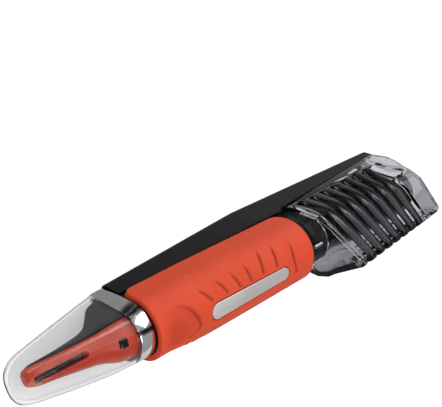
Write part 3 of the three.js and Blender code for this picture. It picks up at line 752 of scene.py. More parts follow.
# ------------------------------------------------------------------ barrel and spine
@dataclass
class Core:
    """Barrel shells and the black roof along the whole back."""

    shop: Workshop
    barrel_radius: float = 8.4
    spine_radius: float = 11.0
    start_radius: float = 9.05
    rise: float = 60.0
    edge: float = 1.7
    wall: float = 1.2
    roof_low: float = 6.0

    def roof_edge(self, x: float) -> float:
        """Height of the roof's lower edge along the body."""
        if x < BARREL_END - 1.0:
            return self.roof_low
        return mix(self.roof_low, far_roof_edge(x), smoothstep(BARREL_END - 1.0, BARREL_END + 1.0, x))

    def section(self, x: float) -> Teardrop:
        """Outer section of the roof, drawn in a little at its far end."""
        drawn = 0.9 * smoothstep(BODY_END - 2.2, BODY_END, x) ** 2
        radius = mix(self.start_radius, self.spine_radius, min(x / self.rise, 1.0))
        return Teardrop.about_axis(radius - drawn, self.edge)

    def build_roof(self) -> bpy.types.Object:
        """Builds the roof with its hollow underside."""
        inner = Teardrop.about_axis(self.barrel_radius + 0.3, 1.6)
        places = [0.3] + eased(0.8, BARREL_END - 1.4, 40)
        places += [mix(BARREL_END - 1.0, BARREL_END + 1.2, i / 6) for i in range(7)]
        places += eased(BARREL_END + 2.0, BODY_END - 2.4, 24)
        places += [BODY_END - 2.4 + 0.24 * i for i in range(1, 11)]
        rings = []
        for x in places:
            low = self.roof_edge(x)
            outer = self.section(x).roof(low, 16)
            under = inner.roof(low, 16)
            rings.append([(x, y, z) for y, z in outer] + [(x, y, z) for y, z in reversed(under)])
        roof = MeshMaker().loft(rings).piece("spine_roof", self.shop.frame)
        return self.shop.fit(soften(roof, 0.22), Look.GLOSS_BLACK, Body.BARREL, "spine_cover")

    def build_barrel(self) -> None:
        """Builds the two glossy barrel shells."""
        outer = Teardrop.about_axis(self.barrel_radius, 1.6)
        inner = outer.inset(self.wall)
        for side, node in ((1.0, "barrel_front"), (-1.0, "barrel_rear")):
            split = 0.12
            skin = [(y, max(z, split) * side) for y, z in outer.half(belly_steps=24)]
            lining = [(y, max(z, split) * side) for y, z in inner.half(belly_steps=24)]
            loop = skin + lining[::-1]
            shell = prism(loop, 0.3, BARREL_END).piece(node + "_shell", self.shop.frame)
            self.shop.fit(soften(shell, 0.15), Look.GLOSS_BLACK, Body.BARREL, node)

    def build(self) -> None:
        """Builds every piece of the core."""
        self.build_roof()
        self.build_barrel()


# ------------------------------------------------------------------ grip
@dataclass(frozen=True)
class Crease:
    """A shallow pressed line across the grip, as places along X and arc length from the flank."""

    line: tuple[Point2, ...]
    depth: float = 0.6
    width: float = 0.42

    def at(self, x: float, arc: float) -> float:
        """Height of the skin near the crease, negative in the groove."""
        best = None
        total = len(self.line) - 1
        for i, (a, b) in enumerate(zip(self.line, self.line[1:])):
            dx, dt = b[0] - a[0], b[1] - a[1]
            length = math.hypot(dx, dt)
            share = min(max(((x - a[0]) * dx + (arc - a[1]) * dt) / length ** 2, 0.0), 1.0)
            px, pt = x - a[0] - share * dx, arc - a[1] - share * dt
            away = math.hypot(px, pt)
            side = 1.0 if px > 0 else -1.0
            if best is None or away < best[0]:
                best = (away, side, (i + share) / total)
        away, side, along = best
        if away > 3.0:
            return 0.0
        fade = smoothstep(0.0, 0.45, along) * smoothstep(1.0, 0.93, along)
        groove = -self.depth * math.exp(-(away / self.width) ** 2)
        lift = 0.32 * self.depth * math.exp(-((away - 0.8) / 0.75) ** 2) if side > 0 else 0.0
        return (groove + lift) * fade


@dataclass
class Grip:
    """Orange grip, its liner, the two silver inlays and the guide pin."""

    shop: Workshop
    start: float = 0.7
    length: float = 69.2
    start_radius: float = 10.2
    radius: float = 11.3
    swell_length: float = 26.0
    bore_radius: float = 9.95
    mouth_radius: float = 8.55
    top: float = 5.7
    rim: float = 0.8
    inlay_start: float = 20.5
    inlay_length: float = 36.0
    inlay_width: float = 5.4
    inlay_arc: float = -16.96
    inlay_taper: float = 0.84

    creases: tuple[Crease, ...] = (
        Crease(((60.8, -6.0), (59.6, -12.6), (60.3, -19.2))),
        Crease(((52.9, -4.5), (51.9, -9.8), (51.2, -13.9))),
        Crease(((46.7, -4.0), (45.6, -8.7), (44.5, -13.5))),
        Crease(((38.2, -6.5), (38.7, -10.5), (38.9, -13.5))),
        Crease(((31.6, -7.0), (33.1, -10.5), (33.9, -13.5))),
        Crease(((24.8, -6.8), (27.0, -10.2), (28.4, -13.2))),
        Crease(((17.4, -7.0), (20.0, -10.0), (21.8, -13.0))),
        Crease(((7.0, -7.6), (10.6, -9.2), (13.4, -12.0), (15.2, -15.2), (15.7, -18.0), (14.2, -19.6),
                (10.0, -20.6)), 0.42, 0.55),
    )

    @property
    def end(self) -> float:
        """Where the grip ends at the wide head's side."""
        return self.start + self.length

    def outer_radius(self, x: float) -> float:
        """Belly radius of the grip's skin."""
        return swell(self.start_radius, self.radius, self.swell_length, x - self.start)

    @staticmethod
    def _curve(points: tuple[Point2, ...], x: float) -> float:
        """Height of a cubic curve through its control points at a place along X."""
        last = None
        for i in range(201):
            t = i / 200
            w = ((1 - t) ** 3, 3 * t * (1 - t) ** 2, 3 * t * t * (1 - t), t ** 3)
            px = sum(k * p[0] for k, p in zip(w, points))
            py = sum(k * p[1] for k, p in zip(w, points))
            if last and px >= x > last[0]:
                return mix(last[1], py, (x - last[0]) / (px - last[0]))
            last = (px, py)
        return points[-1][1] if x > points[0][0] else points[0][1]

    def top_height(self, x: float) -> float:
        """Height of the grip's upper edge, with its rounded corners."""
        if x < self.start + 3.2:
            return self._curve(((self.start, self.top - 3.2), (self.start, self.top - 1.0),
                                (self.start + 1.2, self.top), (self.start + 3.2, self.top)), x)
        if x > self.end - 5.0:
            return self._curve(((self.end - 5, self.top), (self.end - 1.5, self.top),
                                (self.end, self.top - 2), (self.end, self.top - 6)), x)
        return self.top

    def relief(self, x: float, arc: float) -> float:
        """Raised and pressed detail of the skin, at an arc length from the flank."""
        height = sum(crease.at(x, arc) for crease in self.creases)
        across = math.hypot((x - 5.0) / 10.8, (arc + 14.6) / 6.4)
        side = smoothstep(2.0, 7.0, x) * smoothstep(-5.5, -8.5, arc)
        height -= 0.30 * smoothstep(1.02, 0.90, across) * side
        thumb = math.hypot((x - 4.0) / 7.8, (arc + 15.6) / 3.9)
        height -= 0.26 * smoothstep(1.05, 0.7, thumb) * smoothstep(1.0, 5.0, x)
        return height

    def pill(self, grow: float, out: float, base: float) -> Ring:
        """A pill-shaped loop on the grip's skin.

        Args:
            grow: How far it is larger than the inlay.
            out: Height above the skin.
            base: Belly radius of the skin.

        Returns:
            Points of the loop in the build frame.
        """
        half = self.inlay_width / 2
        left, right = self.inlay_start + half, self.inlay_start + self.inlay_length - half
        flat = []
        for centre, turn, share in ((right, -math.pi / 2, self.inlay_taper), (left, math.pi / 2, 1.0)):
            radius = (half + grow) * share
            for i in range(17):
                angle = turn + math.pi * i / 16
                flat.append((centre + radius * math.cos(angle), radius * math.sin(angle)))
        ring = []
        for x, across in flat:
            arc = round_belly_arc(base) + self.inlay_arc + across
            ring.append((x, *on_skin(base, arc, out)))
        return ring

    def mirrored(self, ring: Ring, side: float) -> Ring:
        """The same loop on the front (1) or the rear (-1)."""
        return [(x, y, z * side) for x, y, z in ring]

    def build_skin(self) -> bpy.types.Object:
        """Builds the orange grip with its creases, thumb scoops and inlay pockets."""
        places = eased(self.start, self.start + 9.0, 22)
        places += [mix(self.start + 9.0, self.end - 6.0, i / 120) for i in range(1, 120)]
        places += eased(self.end - 6.0, self.end, 16)
        steps = 84
        rings = []
        for x in places:
            radius = self.outer_radius(x)
            belly = round_belly_arc(radius)
            limit = arc_at_height(radius, self.top_height(x))
            near = arc_at_height(radius, self.top_height(min(x + 0.3, self.end)))
            before = arc_at_height(radius, self.top_height(max(x - 0.3, self.start)))
            slope = (near - before) / 0.6
            ring = []
            for j in range(-steps, steps + 1):
                arc = limit * j / steps
                from_top = (limit - abs(arc)) / math.sqrt(1 + slope * slope)
                from_end = min(x - self.start, self.end - x)
                wall = radius - self.bore_radius
                rim = min(self.rim, max(wall, 0.45) * 0.85)
                away = min(from_top, from_end)
                drop = rim - math.sqrt(max(rim ** 2 - (rim - away) ** 2, 0.0)) if away < rim else 0.0
                out = max(self.relief(x, abs(arc) - belly), 0.12 - wall) - drop
                ring.append((x, *on_skin(radius, arc, out)))
            bore = mix(self.mouth_radius, self.bore_radius, smoothstep(2.3, 2.9, x))
            inner = arc_at_height(bore, self.top_height(x))
            for j in range(steps, -steps - 1, -4):
                ring.append((x, *on_skin(bore, inner * j / steps)))
            rings.append(ring)
        skin = MeshMaker().loft(rings).piece("grip_skin", self.shop.frame, 50.0)
        # Painted shade in the creases and scoops, stored on the skin.
        self.mark_painted_crease_shade(skin)
        tools = []
        for side in (1.0, -1.0):
            loops = [self.mirrored(self.pill(0.42, out, self.radius), side) for out in (-1.5, 3.0)]
            tools.append(MeshMaker().loft(loops).piece("pocket_tool", self.shop.frame))
        return self.shop.fit(cut(skin, *tools, sharp=50.0), Look.SOFT_ORANGE, Body.GRIP, "soft_grip")

    def mark_painted_crease_shade(self, skin: bpy.types.Object) -> None:
        """Stores painted shade on every vertex: the more deeply creases and thumb scoops press the skin in,
        the darker.
        """
        frame = self.shop.frame
        marks = skin.data.attributes.new("pressed", "FLOAT", "POINT")
        for vertex, mark in zip(skin.data.vertices, marks.data):
            x, y, z = frame.unplace(vertex.co)
            radius = self.outer_radius(x)
            if math.hypot(y - AXIS_Y, z) < self.bore_radius + 0.02:
                continue
            arc = arc_at_height(radius, y) - round_belly_arc(radius)
            lines = sum(min(crease.at(x, arc), 0.0) for crease in self.creases)
            scoop = min(self.relief(x, arc) - lines, 0.0)
            mark.value = min(-lines / 0.42 - scoop * 0.7, 1.0)

    def build_inlays(self) -> None:
        """Builds the silver inlays with a rolled rim and a slightly sunk middle."""
        steps = ((0.0, -0.6), (0.0, -0.08), (-0.12, 0.06), (-0.3, 0.09), (-0.5, 0.03), (-0.7, 0.0),
                 (-1.3, 0.0), (-2.0, 0.0), (-2.6, 0.0))
        for side, node in ((1.0, "inlay_front"), (-1.0, "inlay_rear")):
            loops = [self.mirrored(self.pill(grow, out, self.radius), side) for grow, out in steps]
            plate = MeshMaker().loft(loops).piece(node + "_plate", self.shop.frame, 60.0)
            self.shop.fit(plate, Look.BRUSHED, Body.GRIP, node)

    def build_liner(self) -> bpy.types.Object:
        """Builds the black liner with its ridged lip past the grip."""
        inner, outer = 8.85, 9.65
        top = self.top - 0.3
        profile = [(3.0, outer), (self.end + 0.3, outer)]
        lip = [(0.3, 10.2), (0.5, 10.45), (0.8, 10.5), (1.0, 10.4), (1.1, 10.15), (1.25, 10.3),
               (1.5, 10.2), (1.7, 9.9), (1.85, 9.65), (1.9, 9.4)]
        profile += [(self.end + x, r) for x, r in lip]
        rings = []
        for x, radius in profile:
            limit, under = arc_at_height(radius, top), arc_at_height(inner, top)
            ring = [(x, *on_skin(radius, limit * j / 40)) for j in range(-40, 41)]
            ring += [(x, *on_skin(inner, under * j / 40)) for j in range(40, -41, -1)]
            rings.append(ring)
        liner = MeshMaker().loft(rings).piece("grip_sleeve", self.shop.frame, 50.0)
        return self.shop.fit(liner, Look.GLOSS_BLACK, Body.GRIP, "grip_liner")

    def build_pin(self) -> bpy.types.Object:
        """Builds the guide pin with chamfered ends and a waist ring."""
        start = self.end + 2.2
        profile = ((0.0, 0.4), (0.25, 0.65), (1.4, 0.65), (1.5, 0.55), (1.8, 0.55), (1.9, 0.65),
                   (4.0, 0.65), (4.3, 0.35))
        rings = []
        for along, radius in profile:
            ring = []
            for i in range(20):
                angle = math.tau * i / 20
                ring.append((start + along, AXIS_Y - 6.7 + radius * math.cos(angle),
                             6.9 + radius * math.sin(angle)))
            rings.append(ring)
        pin = MeshMaker().loft(rings).piece("guide_pin_turned", self.shop.frame)
        return self.shop.fit(pin, Look.STEEL, Body.GRIP, "guide_pin")

    def build(self) -> None:
        """Builds every piece of the grip."""
        self.build_skin()
        self.build_inlays()
        self.build_liner()
        self.build_pin()


# ------------------------------------------------------------------ cap and collar
Station = tuple[float, float, float, float, float]


def station_section(stations: tuple[Station, ...], out: float) -> Teardrop:
    """The section at a distance out, eased between the stations on both sides."""
    for a, b in zip(stations, stations[1:]):
        if out <= b[0]:
            share = min(max((out - a[0]) / (b[0] - a[0]), 0.0), 1.0)
            return Teardrop(*(mix(a[i], b[i], share) for i in range(1, 5)))
    return Teardrop(*stations[-1][1:])


@dataclass
class Cap:
    """Clear cap over the detail head, and the chrome collar pulled off with it."""

    shop: Workshop
    collar_width: float = 5.2
    wall: float = 0.8
    stations: tuple[Station, ...] = (
        (5.5, 11.4, -13.1, 8.35, 1.8), (13.0, 10.0, -12.8, 8.0, 2.2), (26.0, 7.3, -11.1, 7.0, 3.0),
        (34.5, 5.5, -9.7, 6.2, 3.4), (36.6, 4.9, -9.35, 5.95, 3.5), (38.2, 4.2, -9.0, 5.6, 3.5),
        (39.6, 3.2, -8.5, 5.1, 3.35), (40.7, 2.2, -7.95, 4.5, 3.1), (41.5, 0.9, -7.15, 3.6, 2.6),
        (42.0, -0.8, -5.9, 2.3, 1.6))

    def rings(self, inset: float, push: float, places: list[float]) -> list[Ring]:
        """Loops of the cap's wall, drawn in and pushed towards the collar."""
        rings = []
        for out in places:
            section = station_section(self.stations, out).inset(inset)
            rings.append([(push - out, y, z) for y, z in section.outline(belly_steps=20)])
        return rings

    def build_cap(self) -> bpy.types.Object:
        """Builds the clear cap as one wall with a rolled rim."""
        places = [mix(5.5, 34.5, i / 16) for i in range(17)] + [mix(35.2, 42.0, i / 18) for i in range(19)]
        outer = self.rings(0.0, 0.0, places)
        inner = self.rings(self.wall, 0.95, [6.45] + places[1:])
        maker = MeshMaker().loft(outer[::-1] + inner, caps=True)
        cap = maker.piece("cap_wall", self.shop.frame, 40.0)
        return self.shop.fit(soften(cap, 0.15), Look.CLEAR, Body.CAP, "clear_cap")

    def build_collar(self) -> bpy.types.Object:
        """Builds the polished collar with rolled edges and painted reflection bands."""
        near = Teardrop(12.0, -13.1, 9.0, 1.2)
        far = Teardrop.about_axis(8.4, 1.2)
        hole = Teardrop.about_axis(7.4, 1.2)
        outline = []
        for along, inset in ((0.0, 0.35), (0.1, 0.1), (0.35, 0.0), (2.6, -0.05), (4.85, 0.0), (5.1, 0.1),
                             (5.2, 0.35)):
            share = along / self.collar_width
            section = Teardrop(*(mix(getattr(near, key), getattr(far, key), share)
                                 for key in ("top", "bottom", "radius", "edge"))).inset(inset)
            outline.append([(-along, y, z) for y, z in section.outline(belly_steps=80)])
        lining = [[(-along, y, z) for y, z in hole.outline(belly_steps=80)] for along in (5.2, 0.0)]
        rings = outline + lining + [outline[0]]
        collar = MeshMaker().loft(rings, caps=False).piece("collar_ring", self.shop.frame, 60.0)
        # Painted reflection bands, stored on the ring.
        self.mark_painted_reflection(collar)
        return self.shop.fit(collar, Look.CHROME, Body.CAP, "chrome_collar")

    def mark_painted_reflection(self, collar: bpy.types.Object) -> None:
        """Stores painted reflection on the polished ring: dark bands by their place around it, the same on
        both sides.
        """
        frame = self.shop.frame
        stops = ((0.0, 0.1), (0.57, 0.0), (0.61, 1.0), (0.70, 1.0), (0.72, 0.0), (1.0, 0.0),
                 (1.02, 1.0), (1.36, 1.0), (1.44, 0.66), (9.0, 0.66))
        marks = collar.data.attributes.new("shade", "FLOAT", "POINT")
        for vertex, mark in zip(collar.data.vertices, marks.data):
            _, y, z = frame.unplace(vertex.co)
            around = math.atan2(abs(z), AXIS_Y - y) / (math.pi / 2)
            for a, b in zip(stops, stops[1:]):
                if a[0] <= around <= b[0]:
                    mark.value = mix(a[1], b[1], (around - a[0]) / (b[0] - a[0]))

    def build(self) -> None:
        """Builds the cap and its collar."""
        self.build_cap()
        self.build_collar()


# ------------------------------------------------------------------ detail head
@dataclass
class DetailHead:
    """Slim head under the cap: black back, orange panel, lens and toothed blades."""

    shop: Workshop
    row: RowOfPlates
    tilt: float = 28.0
    slot_y: float = -3.4
    blade_start: float = -19.5
    blade_length: float = 16.2
    pitch: float = 1.0
    seam: tuple[Point2, ...] = ((1.0, -2.0), (-12.0, -2.0), (-20.0, -1.4), (-35.0, 0.0), (-35.8, 2.4),
                                (-50.0, 2.4))
    stations: tuple[Station, ...] = (
        (0.3, 8.75, -11.4, 6.8, 1.2), (8.6, 8.55, -11.0, 6.5, 1.2), (10.6, 6.6, -10.4, 6.1, 1.4),
        (12.6, 3.9, -9.4, 5.4, 1.8), (15.2, 2.2, -8.4, 4.6, 2.0), (20.0, 1.5, -7.6, 4.0, 1.9),
        (28.0, 1.1, -6.3, 3.2, 1.6), (35.0, 0.9, -5.5, 2.75, 1.4), (36.8, 0.3, -5.0, 2.3, 1.2),
        (37.5, -0.7, -4.1, 1.5, 0.9))

    def seam_height(self, x: float) -> float:
        """Height at which the black back meets the orange panel."""
        for a, b in zip(self.seam, self.seam[1:]):
            if x >= b[0]:
                return mix(a[1], b[1], (x - a[0]) / (b[0] - a[0]))
        return self.seam[-1][1]

    def smooth_section(self, out: float) -> Teardrop:
        """The section averaged over a short length, so that the stations don't show."""
        spread = min(1.6, out - 0.3, self.stations[-1][0] - out)
        picks = [station_section(self.stations, out + spread * k) for k in (-1.0, -0.5, 0.0, 0.5, 1.0)]
        return Teardrop(*(sum(getattr(p, key) for p in picks) / 5
                          for key in ("top", "bottom", "radius", "edge")))

    def turned(self, x: float, across: float, out: float) -> Point3:
        """A point in the blade slot's own frame: across to the spine, out of the slot."""
        angle = math.radians(self.tilt)
        y = across * math.cos(angle) - out * math.sin(angle) + self.slot_y
        z = across * math.sin(angle) + out * math.cos(angle)
        return x, y, z

    def half_body(self, name: str, upper: bool) -> bpy.types.Object:
        """Builds the part of the head above or below its seam as a closed solid."""
        places = [mix(0.3, 8.6, i / 5) for i in range(6)] + [mix(9.2, 33.0, i / 40) for i in range(41)]
        places += [mix(33.5, 37.5, i / 16) for i in range(17)]
        rings = []
        for out in places:
            section = self.smooth_section(out)
            seam = min(max(self.seam_height(-out), section.bottom + 0.2), section.top - 0.05)
            if upper:
                points = section.roof(seam, 14)
            else:
                seam = seam - 0.18
                drop = [mix(section.bottom, seam, 0.5 - 0.5 * math.cos(math.pi * i / 28)) for i in range(29)]
                front = [(y, section.width(y)) for y in drop]
                points = front[::-1] + [(y, -z) for y, z in front[1:]]
            rings.append([(-out, y, z) for y, z in points])
        return MeshMaker().loft(rings).piece(name, self.shop.frame, 40.0)

    def slot_loop(self, low: float, high: float, out: float) -> Ring:
        """A rounded slot outline at a level out of the head."""
        left = self.blade_start - self.blade_length - 0.3
        right = self.blade_start + 0.3
        half = (high - low) / 2
        middle = (high + low) / 2
        loop = []
        for centre, turn in ((right - half, -math.pi / 2), (left + half, math.pi / 2)):
            for i in range(9):
                angle = turn + math.pi * i / 8
                x = centre + half * math.cos(angle)
                loop.append(self.turned(x, middle + half * math.sin(angle), out))
        return loop

    def build_body(self) -> None:
        """Builds the black back and the orange panel with its slot and lens window."""
        back = self.half_body("detail_back", True)
        self.shop.fit(soften(back, 0.12), Look.SATIN_BLACK, Body.BARREL, "detail_base")
        panel = self.half_body("detail_front", False)
        slot = MeshMaker().loft([self.slot_loop(-1.25, 0.75, out) for out in (0.0, 9.0)])
        window = []
        angle = math.radians(36.87)
        for out in (5.0, 12.0):
            loop = []
            for dx, across in ((-1.35, -1.35), (1.35, -1.35), (1.35, 1.35), (-1.35, 1.35)):
                y = across * math.cos(angle) - out * math.sin(angle) + AXIS_Y
                z = across * math.sin(angle) + out * math.cos(angle)
                loop.append((-9.5 + dx, y, z))
            window.append(loop)
        tools = [slot.piece("slot_tool", self.shop.frame), MeshMaker().loft(window).piece("lens_tool",
                                                                                         self.shop.frame)]
        cut(panel, *tools)
        self.shop.fit(soften(panel, 0.12), Look.HARD_ORANGE, Body.BARREL, "detail_panel")

    def blade(self, name: str, start: float, length: float, root: float, tooth: float, tip: float,
              low: float, high: float) -> bpy.types.Object:
        """Builds a blade: a root strip and a row of teeth repeated by Geometry Nodes."""
        strip = MeshMaker().loft([[self.turned(x, across, out) for across, out in
                                   ((root, low), (root, high), (tooth, high), (tooth, low))]
                                  for x in (start, start + length)]).piece(name + "_strip", self.shop.frame)
        count = int(length / self.pitch)
        maker = MeshMaker()
        first = start + 0.25
        corners = ((tooth + 0.02, low), (tooth + 0.02, high), (tip + 0.15, high), (tip, low + 0.1),
                   (tip, low))
        maker.points = [self.turned(first, across, out) for across, out in corners]
        maker.faces = [(0, 1, 2, 3, 4)]
        teeth = maker.piece(name + "_teeth", self.shop.frame)
        self.row.spread(teeth, {"Count": count, "Pitch": self.pitch * MM, "Thickness": 0.5 * MM,
                                "Shrink": 0.0, "Pivot": (0.0, 0.0, 0.0),
                                "Material": self.shop.materials[Look.STEEL]})
        return join(name, strip, teeth)

    def build_blades(self) -> None:
        """Builds the fixed and the moving blade."""
        left = self.blade_start - self.blade_length
        fixed = self.blade("detail_comb_blade", left, self.blade_length, 1.5, 0.4, -0.95, 1.1, 1.45)
        # The detail blades wear steel with painted shade.
        self.shop.fit(fixed, Look.STEEL_PAINTED_SHADE, Body.BARREL, "detail_fixed_blade")
        moving = self.blade("detail_cutter", left + 1, self.blade_length - 2, 1.2, 0.4, -0.8, 0.45, 0.8)
        self.shop.fit(moving, Look.STEEL_PAINTED_SHADE, Body.DETAIL_BLADE, "detail_moving_blade")

    def build(self) -> None:
        """Builds every piece of the detail head."""
        self.build_body()
        self.build_blades()


# ------------------------------------------------------------------ wide head and comb guard
@dataclass
class CombGuard:
    """Smoky guard over the wide head: end walls, top strip, back skirt and arched ribs."""

    shop: Workshop
    row: RowOfPlates
    start: float = 80.0
    length: float = 61.5
    ribs: int = 9
    pitch: float = 6.1
    rib_width: float = 2.0
    rib_look: float = 3.3
    shoulder: float = 2.8
    outer: tuple[Point2, ...] = (
        (15.5, 2.0), (8.2, 4.7), (4.9, 6.7), (0.6, 9.4), (-3.5, 10.9), (-9.0, 11.5), (-25.6, 11.5),
        (-27.0, 10.9), (-27.2, 9.6), (-20.8, -1.6), (-19.2, -5.2), (-15.9, -8.7), (-11.6, -10.8),
        (-8.8, -10.6), (-6.0, -4.0), (4.0, 0.0), (15.5, 1.0))
    hollow: tuple[Point2, ...] = (
        (-0.4, 7.0), (-3.0, 9.0), (-9.0, 9.7), (-24.8, 9.7), (-19.2, -0.6), (-17.7, -4.4), (-14.9, -7.4),
        (-12.5, -7.4), (-8.0, -3.0), (0.0, 0.0))

    @property
    def end(self) -> float:
        """Far end of the guard."""
        return self.start + self.length

    def section(self, outline: tuple[Point2, ...], x: float, rounded: bool = False) -> list[Point2]:
        """An outline at a place along the guard, drawn in towards the far end."""
        share = min(max((x - self.start) / (self.length - 5.0), 0.0), 1.0)
        drawn = []
        for y, z in outline:
            reach = min(max((-9.0 - y) / 16.0, 0.0), 1.0)
            far_y = -9.0 + (y + 9.0) * 0.76 if y < -9.0 else y
            far_z = z * (0.96 - 0.36 * reach) if z > 0 else z
            if z > 1.5:
                far_z += self.shoulder * math.exp(-((y - 7.5) / 4.5) ** 2)
            drawn.append((mix(y, far_y, share), mix(z, far_z, share)))
        if rounded:
            past = min(max((x - self.end + 5.0) / 5.0, 0.0), 1.0)
            scale = math.sqrt(max(1.0 - (past * 0.44) ** 2, 0.0))
            drawn = [(-5.0 + (y + 5.0) * scale, z * scale) for y, z in drawn]
        return drawn

    def loft_between(self, outline: tuple[Point2, ...], start: float, end: float, rounded: bool) -> MeshMaker:
        """A solid through sections of one outline."""
        places = [mix(start, min(end, self.end - 5.0), i / 8) for i in range(9)]
        if end > self.end - 5.0:
            places += [mix(self.end - 5.0, end, i / 8) for i in range(1, 9)]
        rings = [[(x, y, z) for y, z in self.section(outline, x, rounded)] for x in places]
        return MeshMaker().loft(rings)

    def build_shell(self) -> bpy.types.Object:
        """Builds the guard's walls with the space for the head and the open belly side."""
        frame = self.shop.frame
        shell = self.loft_between(self.outer, self.start, self.end, True).piece("guard_walls", frame)
        inside = self.loft_between(self.hollow, self.start + 1.4, self.end - 1.4, True).piece("t1", frame)
        room = Teardrop.about_axis(8.9, 0.8).outline()
        head = prism(room, self.start - 5, self.end - 1.4).piece("t2", frame)
        blades = self.blade_room().piece("t3", frame)
        gap = self.start + self.rib_width
        windows = prism([(6.4, 2.4), (6.4, 20), (-40, 20), (-40, 6.6), (-22, 6.6), (-3, 5.6)], gap,
                        self.start + (self.ribs - 1) * self.pitch).piece("t4", frame)
        over = MeshMaker()
        low = [(x, far_roof_edge(x) - 0.4) for x in (self.start - 4, self.end + 5)]
        over.loft([[(x, y, -30.0), (x, y, 30.0), (x, 40.0, 30.0), (x, 40.0, -30.0)] for x, y in low])
        cut(shell, inside, head, blades, windows, over.piece("t5", frame))
        return soften(shell, 0.22)

    @staticmethod
    def blade_room() -> MeshMaker:
        """Space for the blades on the front flank."""
        rings = []
        for x in (79.2, 130.8):
            ring = []
            for across, out in ((-3.8, 6.0), (8.4, 6.0), (8.4, 9.6), (-3.8, 9.6)):
                y = across * math.cos(-LEAN) - out * math.sin(-LEAN) + AXIS_Y
                z = across * math.sin(-LEAN) + out * math.cos(-LEAN)
                ring.append((x, y, z))
            rings.append(ring)
        return MeshMaker().loft(rings)

    def rib_outline(self) -> list[Point2]:
        """Outline of one rib, from the top strip over the arch to the round tip and back."""
        return [(6.6, 5.75), (4.9, 6.7), (2.8, 8.1), (0.6, 9.4), (-1.5, 10.3), (-3.5, 10.9), (-6.2, 11.3),
                (-9.0, 11.5), (-25.4, 11.5), (-26.3, 11.3), (-26.9, 10.9), (-27.2, 10.2), (-27.2, 9.6),
                (-25.6, 6.5), (-23.9, 6.5), (-25.0, 9.0), (-24.8, 9.7), (-9.0, 9.7), (-5.8, 9.5),
                (-3.0, 9.0), (-0.9, 8.0), (1.2, 6.7), (3.4, 5.4), (6.2, 4.3)]

    def build_ribs(self) -> bpy.types.Object:
        """Builds the free ribs between the end walls with Geometry Nodes."""
        frame = self.shop.frame
        spare = (self.rib_look - self.rib_width) / 2
        first = self.start + self.pitch - spare
        maker = MeshMaker()
        maker.points = [(first, y, z) for y, z in self.rib_outline()]
        maker.faces = [tuple(range(len(maker.points)))]
        ribs = maker.piece("rib_face", frame)
        pivot = frame.place(first, 0.0, 4.0)
        self.row.spread(ribs, {"Count": self.ribs - 2, "Pitch": self.pitch * MM,
                               "Thickness": self.rib_look * MM, "Shrink": 0.0,
                               "Pivot": tuple(pivot), "Material": self.shop.materials[Look.SMOKE]})
        self.draw_in(ribs)
        return soften(ribs, 0.3)

    def draw_in(self, ribs: bpy.types.Object) -> None:
        """Moves rib points to where the guard's own sections put them along its length."""
        frame = self.shop.frame
        for vertex in ribs.data.vertices:
            x, y, z = frame.unplace(vertex.co)
            (new_y, new_z), = self.section(((y, z),), x)
            vertex.co = frame.place(x, new_y, new_z)

    def build(self) -> None:
        """Builds the guard's walls and its ribs."""
        self.shop.fit(self.build_shell(), Look.SMOKE, Body.COMB, "comb_guard")
        # The ribs wear smoke plastic with painted shade.
        self.shop.fit(self.build_ribs(), Look.SMOKE_RIB_PAINTED_SHADE, Body.COMB, "comb_guard")


@dataclass
class WideHead:
    """Wide blades on the front flank; the rest of the head keeps its CAD shape."""

    shop: Workshop
    row: RowOfPlates
    start: float = 84.0
    length: float = 42.0
    pitch: float = 1.75

    @staticmethod
    def on_flank(x: float, across: float, out: float) -> Point3:
        """A point in the front flank's frame."""
        y = across * math.cos(-LEAN) - out * math.sin(-LEAN) + AXIS_Y
        z = across * math.sin(-LEAN) + out * math.cos(-LEAN)
        return x, y, z

    def teeth(self, name: str, start: float, count: int, root: float, tip: float, low: float,
              high: float) -> bpy.types.Object:
        """Builds a row of bevelled teeth with Geometry Nodes."""
        maker = MeshMaker()
        corners = ((root, low), (root, high), (tip - 0.9, high), (tip - 0.2, high - 0.15), (tip, low + 0.1),
                   (tip, low))
        maker.points = [self.on_flank(start, across, out) for across, out in corners]
        maker.faces = [tuple(range(len(corners)))]
        teeth = maker.piece(name, self.shop.frame)
        return self.row.spread(teeth, {"Count": count, "Pitch": self.pitch * MM, "Thickness": 0.84 * MM,
                                       "Shrink": 0.0, "Pivot": (0.0, 0.0, 0.0),
                                       "Material": self.shop.materials[Look.STEEL]})

    def build(self) -> None:
        """Adds the ground edge of the fixed blade; the plates of both blades stay CAD nodes."""
        count = int(self.length / self.pitch)
        inset = (self.length - count * self.pitch + self.pitch * 0.52) / 2
        edge = self.teeth("fixed_blade_edge", self.start + inset, count, 4.8, 7.45, 8.32, 8.46)
        self.shop.fit(edge, Look.STEEL, Body.BARREL)


# ------------------------------------------------------------------ carried-over nodes and the room
CARRIED: dict[Look, tuple[str, ...]] = {
    Look.GLOSS_BLACK: ("head_front", "head_rear"),
    Look.SATIN_BLACK: ("end_plate", "switch_knob"),
    Look.STEEL: ("rear_screw_1", "rear_screw_2", "blade_screw_1", "blade_screw_2", "wide_fixed_blade",
                 "wide_moving_blade", "wide_motor", "wide_motor_shaft", "battery_spring", "detail_motor",
                 "detail_motor_shaft"),
    Look.BRASS: ("wide_eccentric", "battery_contact", "detail_cam", "detail_push_rod"),
    Look.WRAP: ("battery",),
    Look.BOARD: ("circuit_board",),
    # The lamp lens shares the darker smoke with painted shade.
    Look.SMOKE_RIB_PAINTED_SHADE: ("lamp_lens",),
    Look.LAMP: ("lamp",),
}


def dress_carried_nodes(shop: Workshop, nodes: dict[str, bpy.types.Object]) -> None:
    """Gives the CAD nodes that stay their materials."""
    for look, names in CARRIED.items():
        for name in names:
            piece = nodes[name]
            if not piece.material_slots:
                piece.data.materials.append(shop.materials[look])
            for slot in piece.material_slots:
                slot.material = shop.materials[look]
            log.info("%s keeps its CAD shape", name)


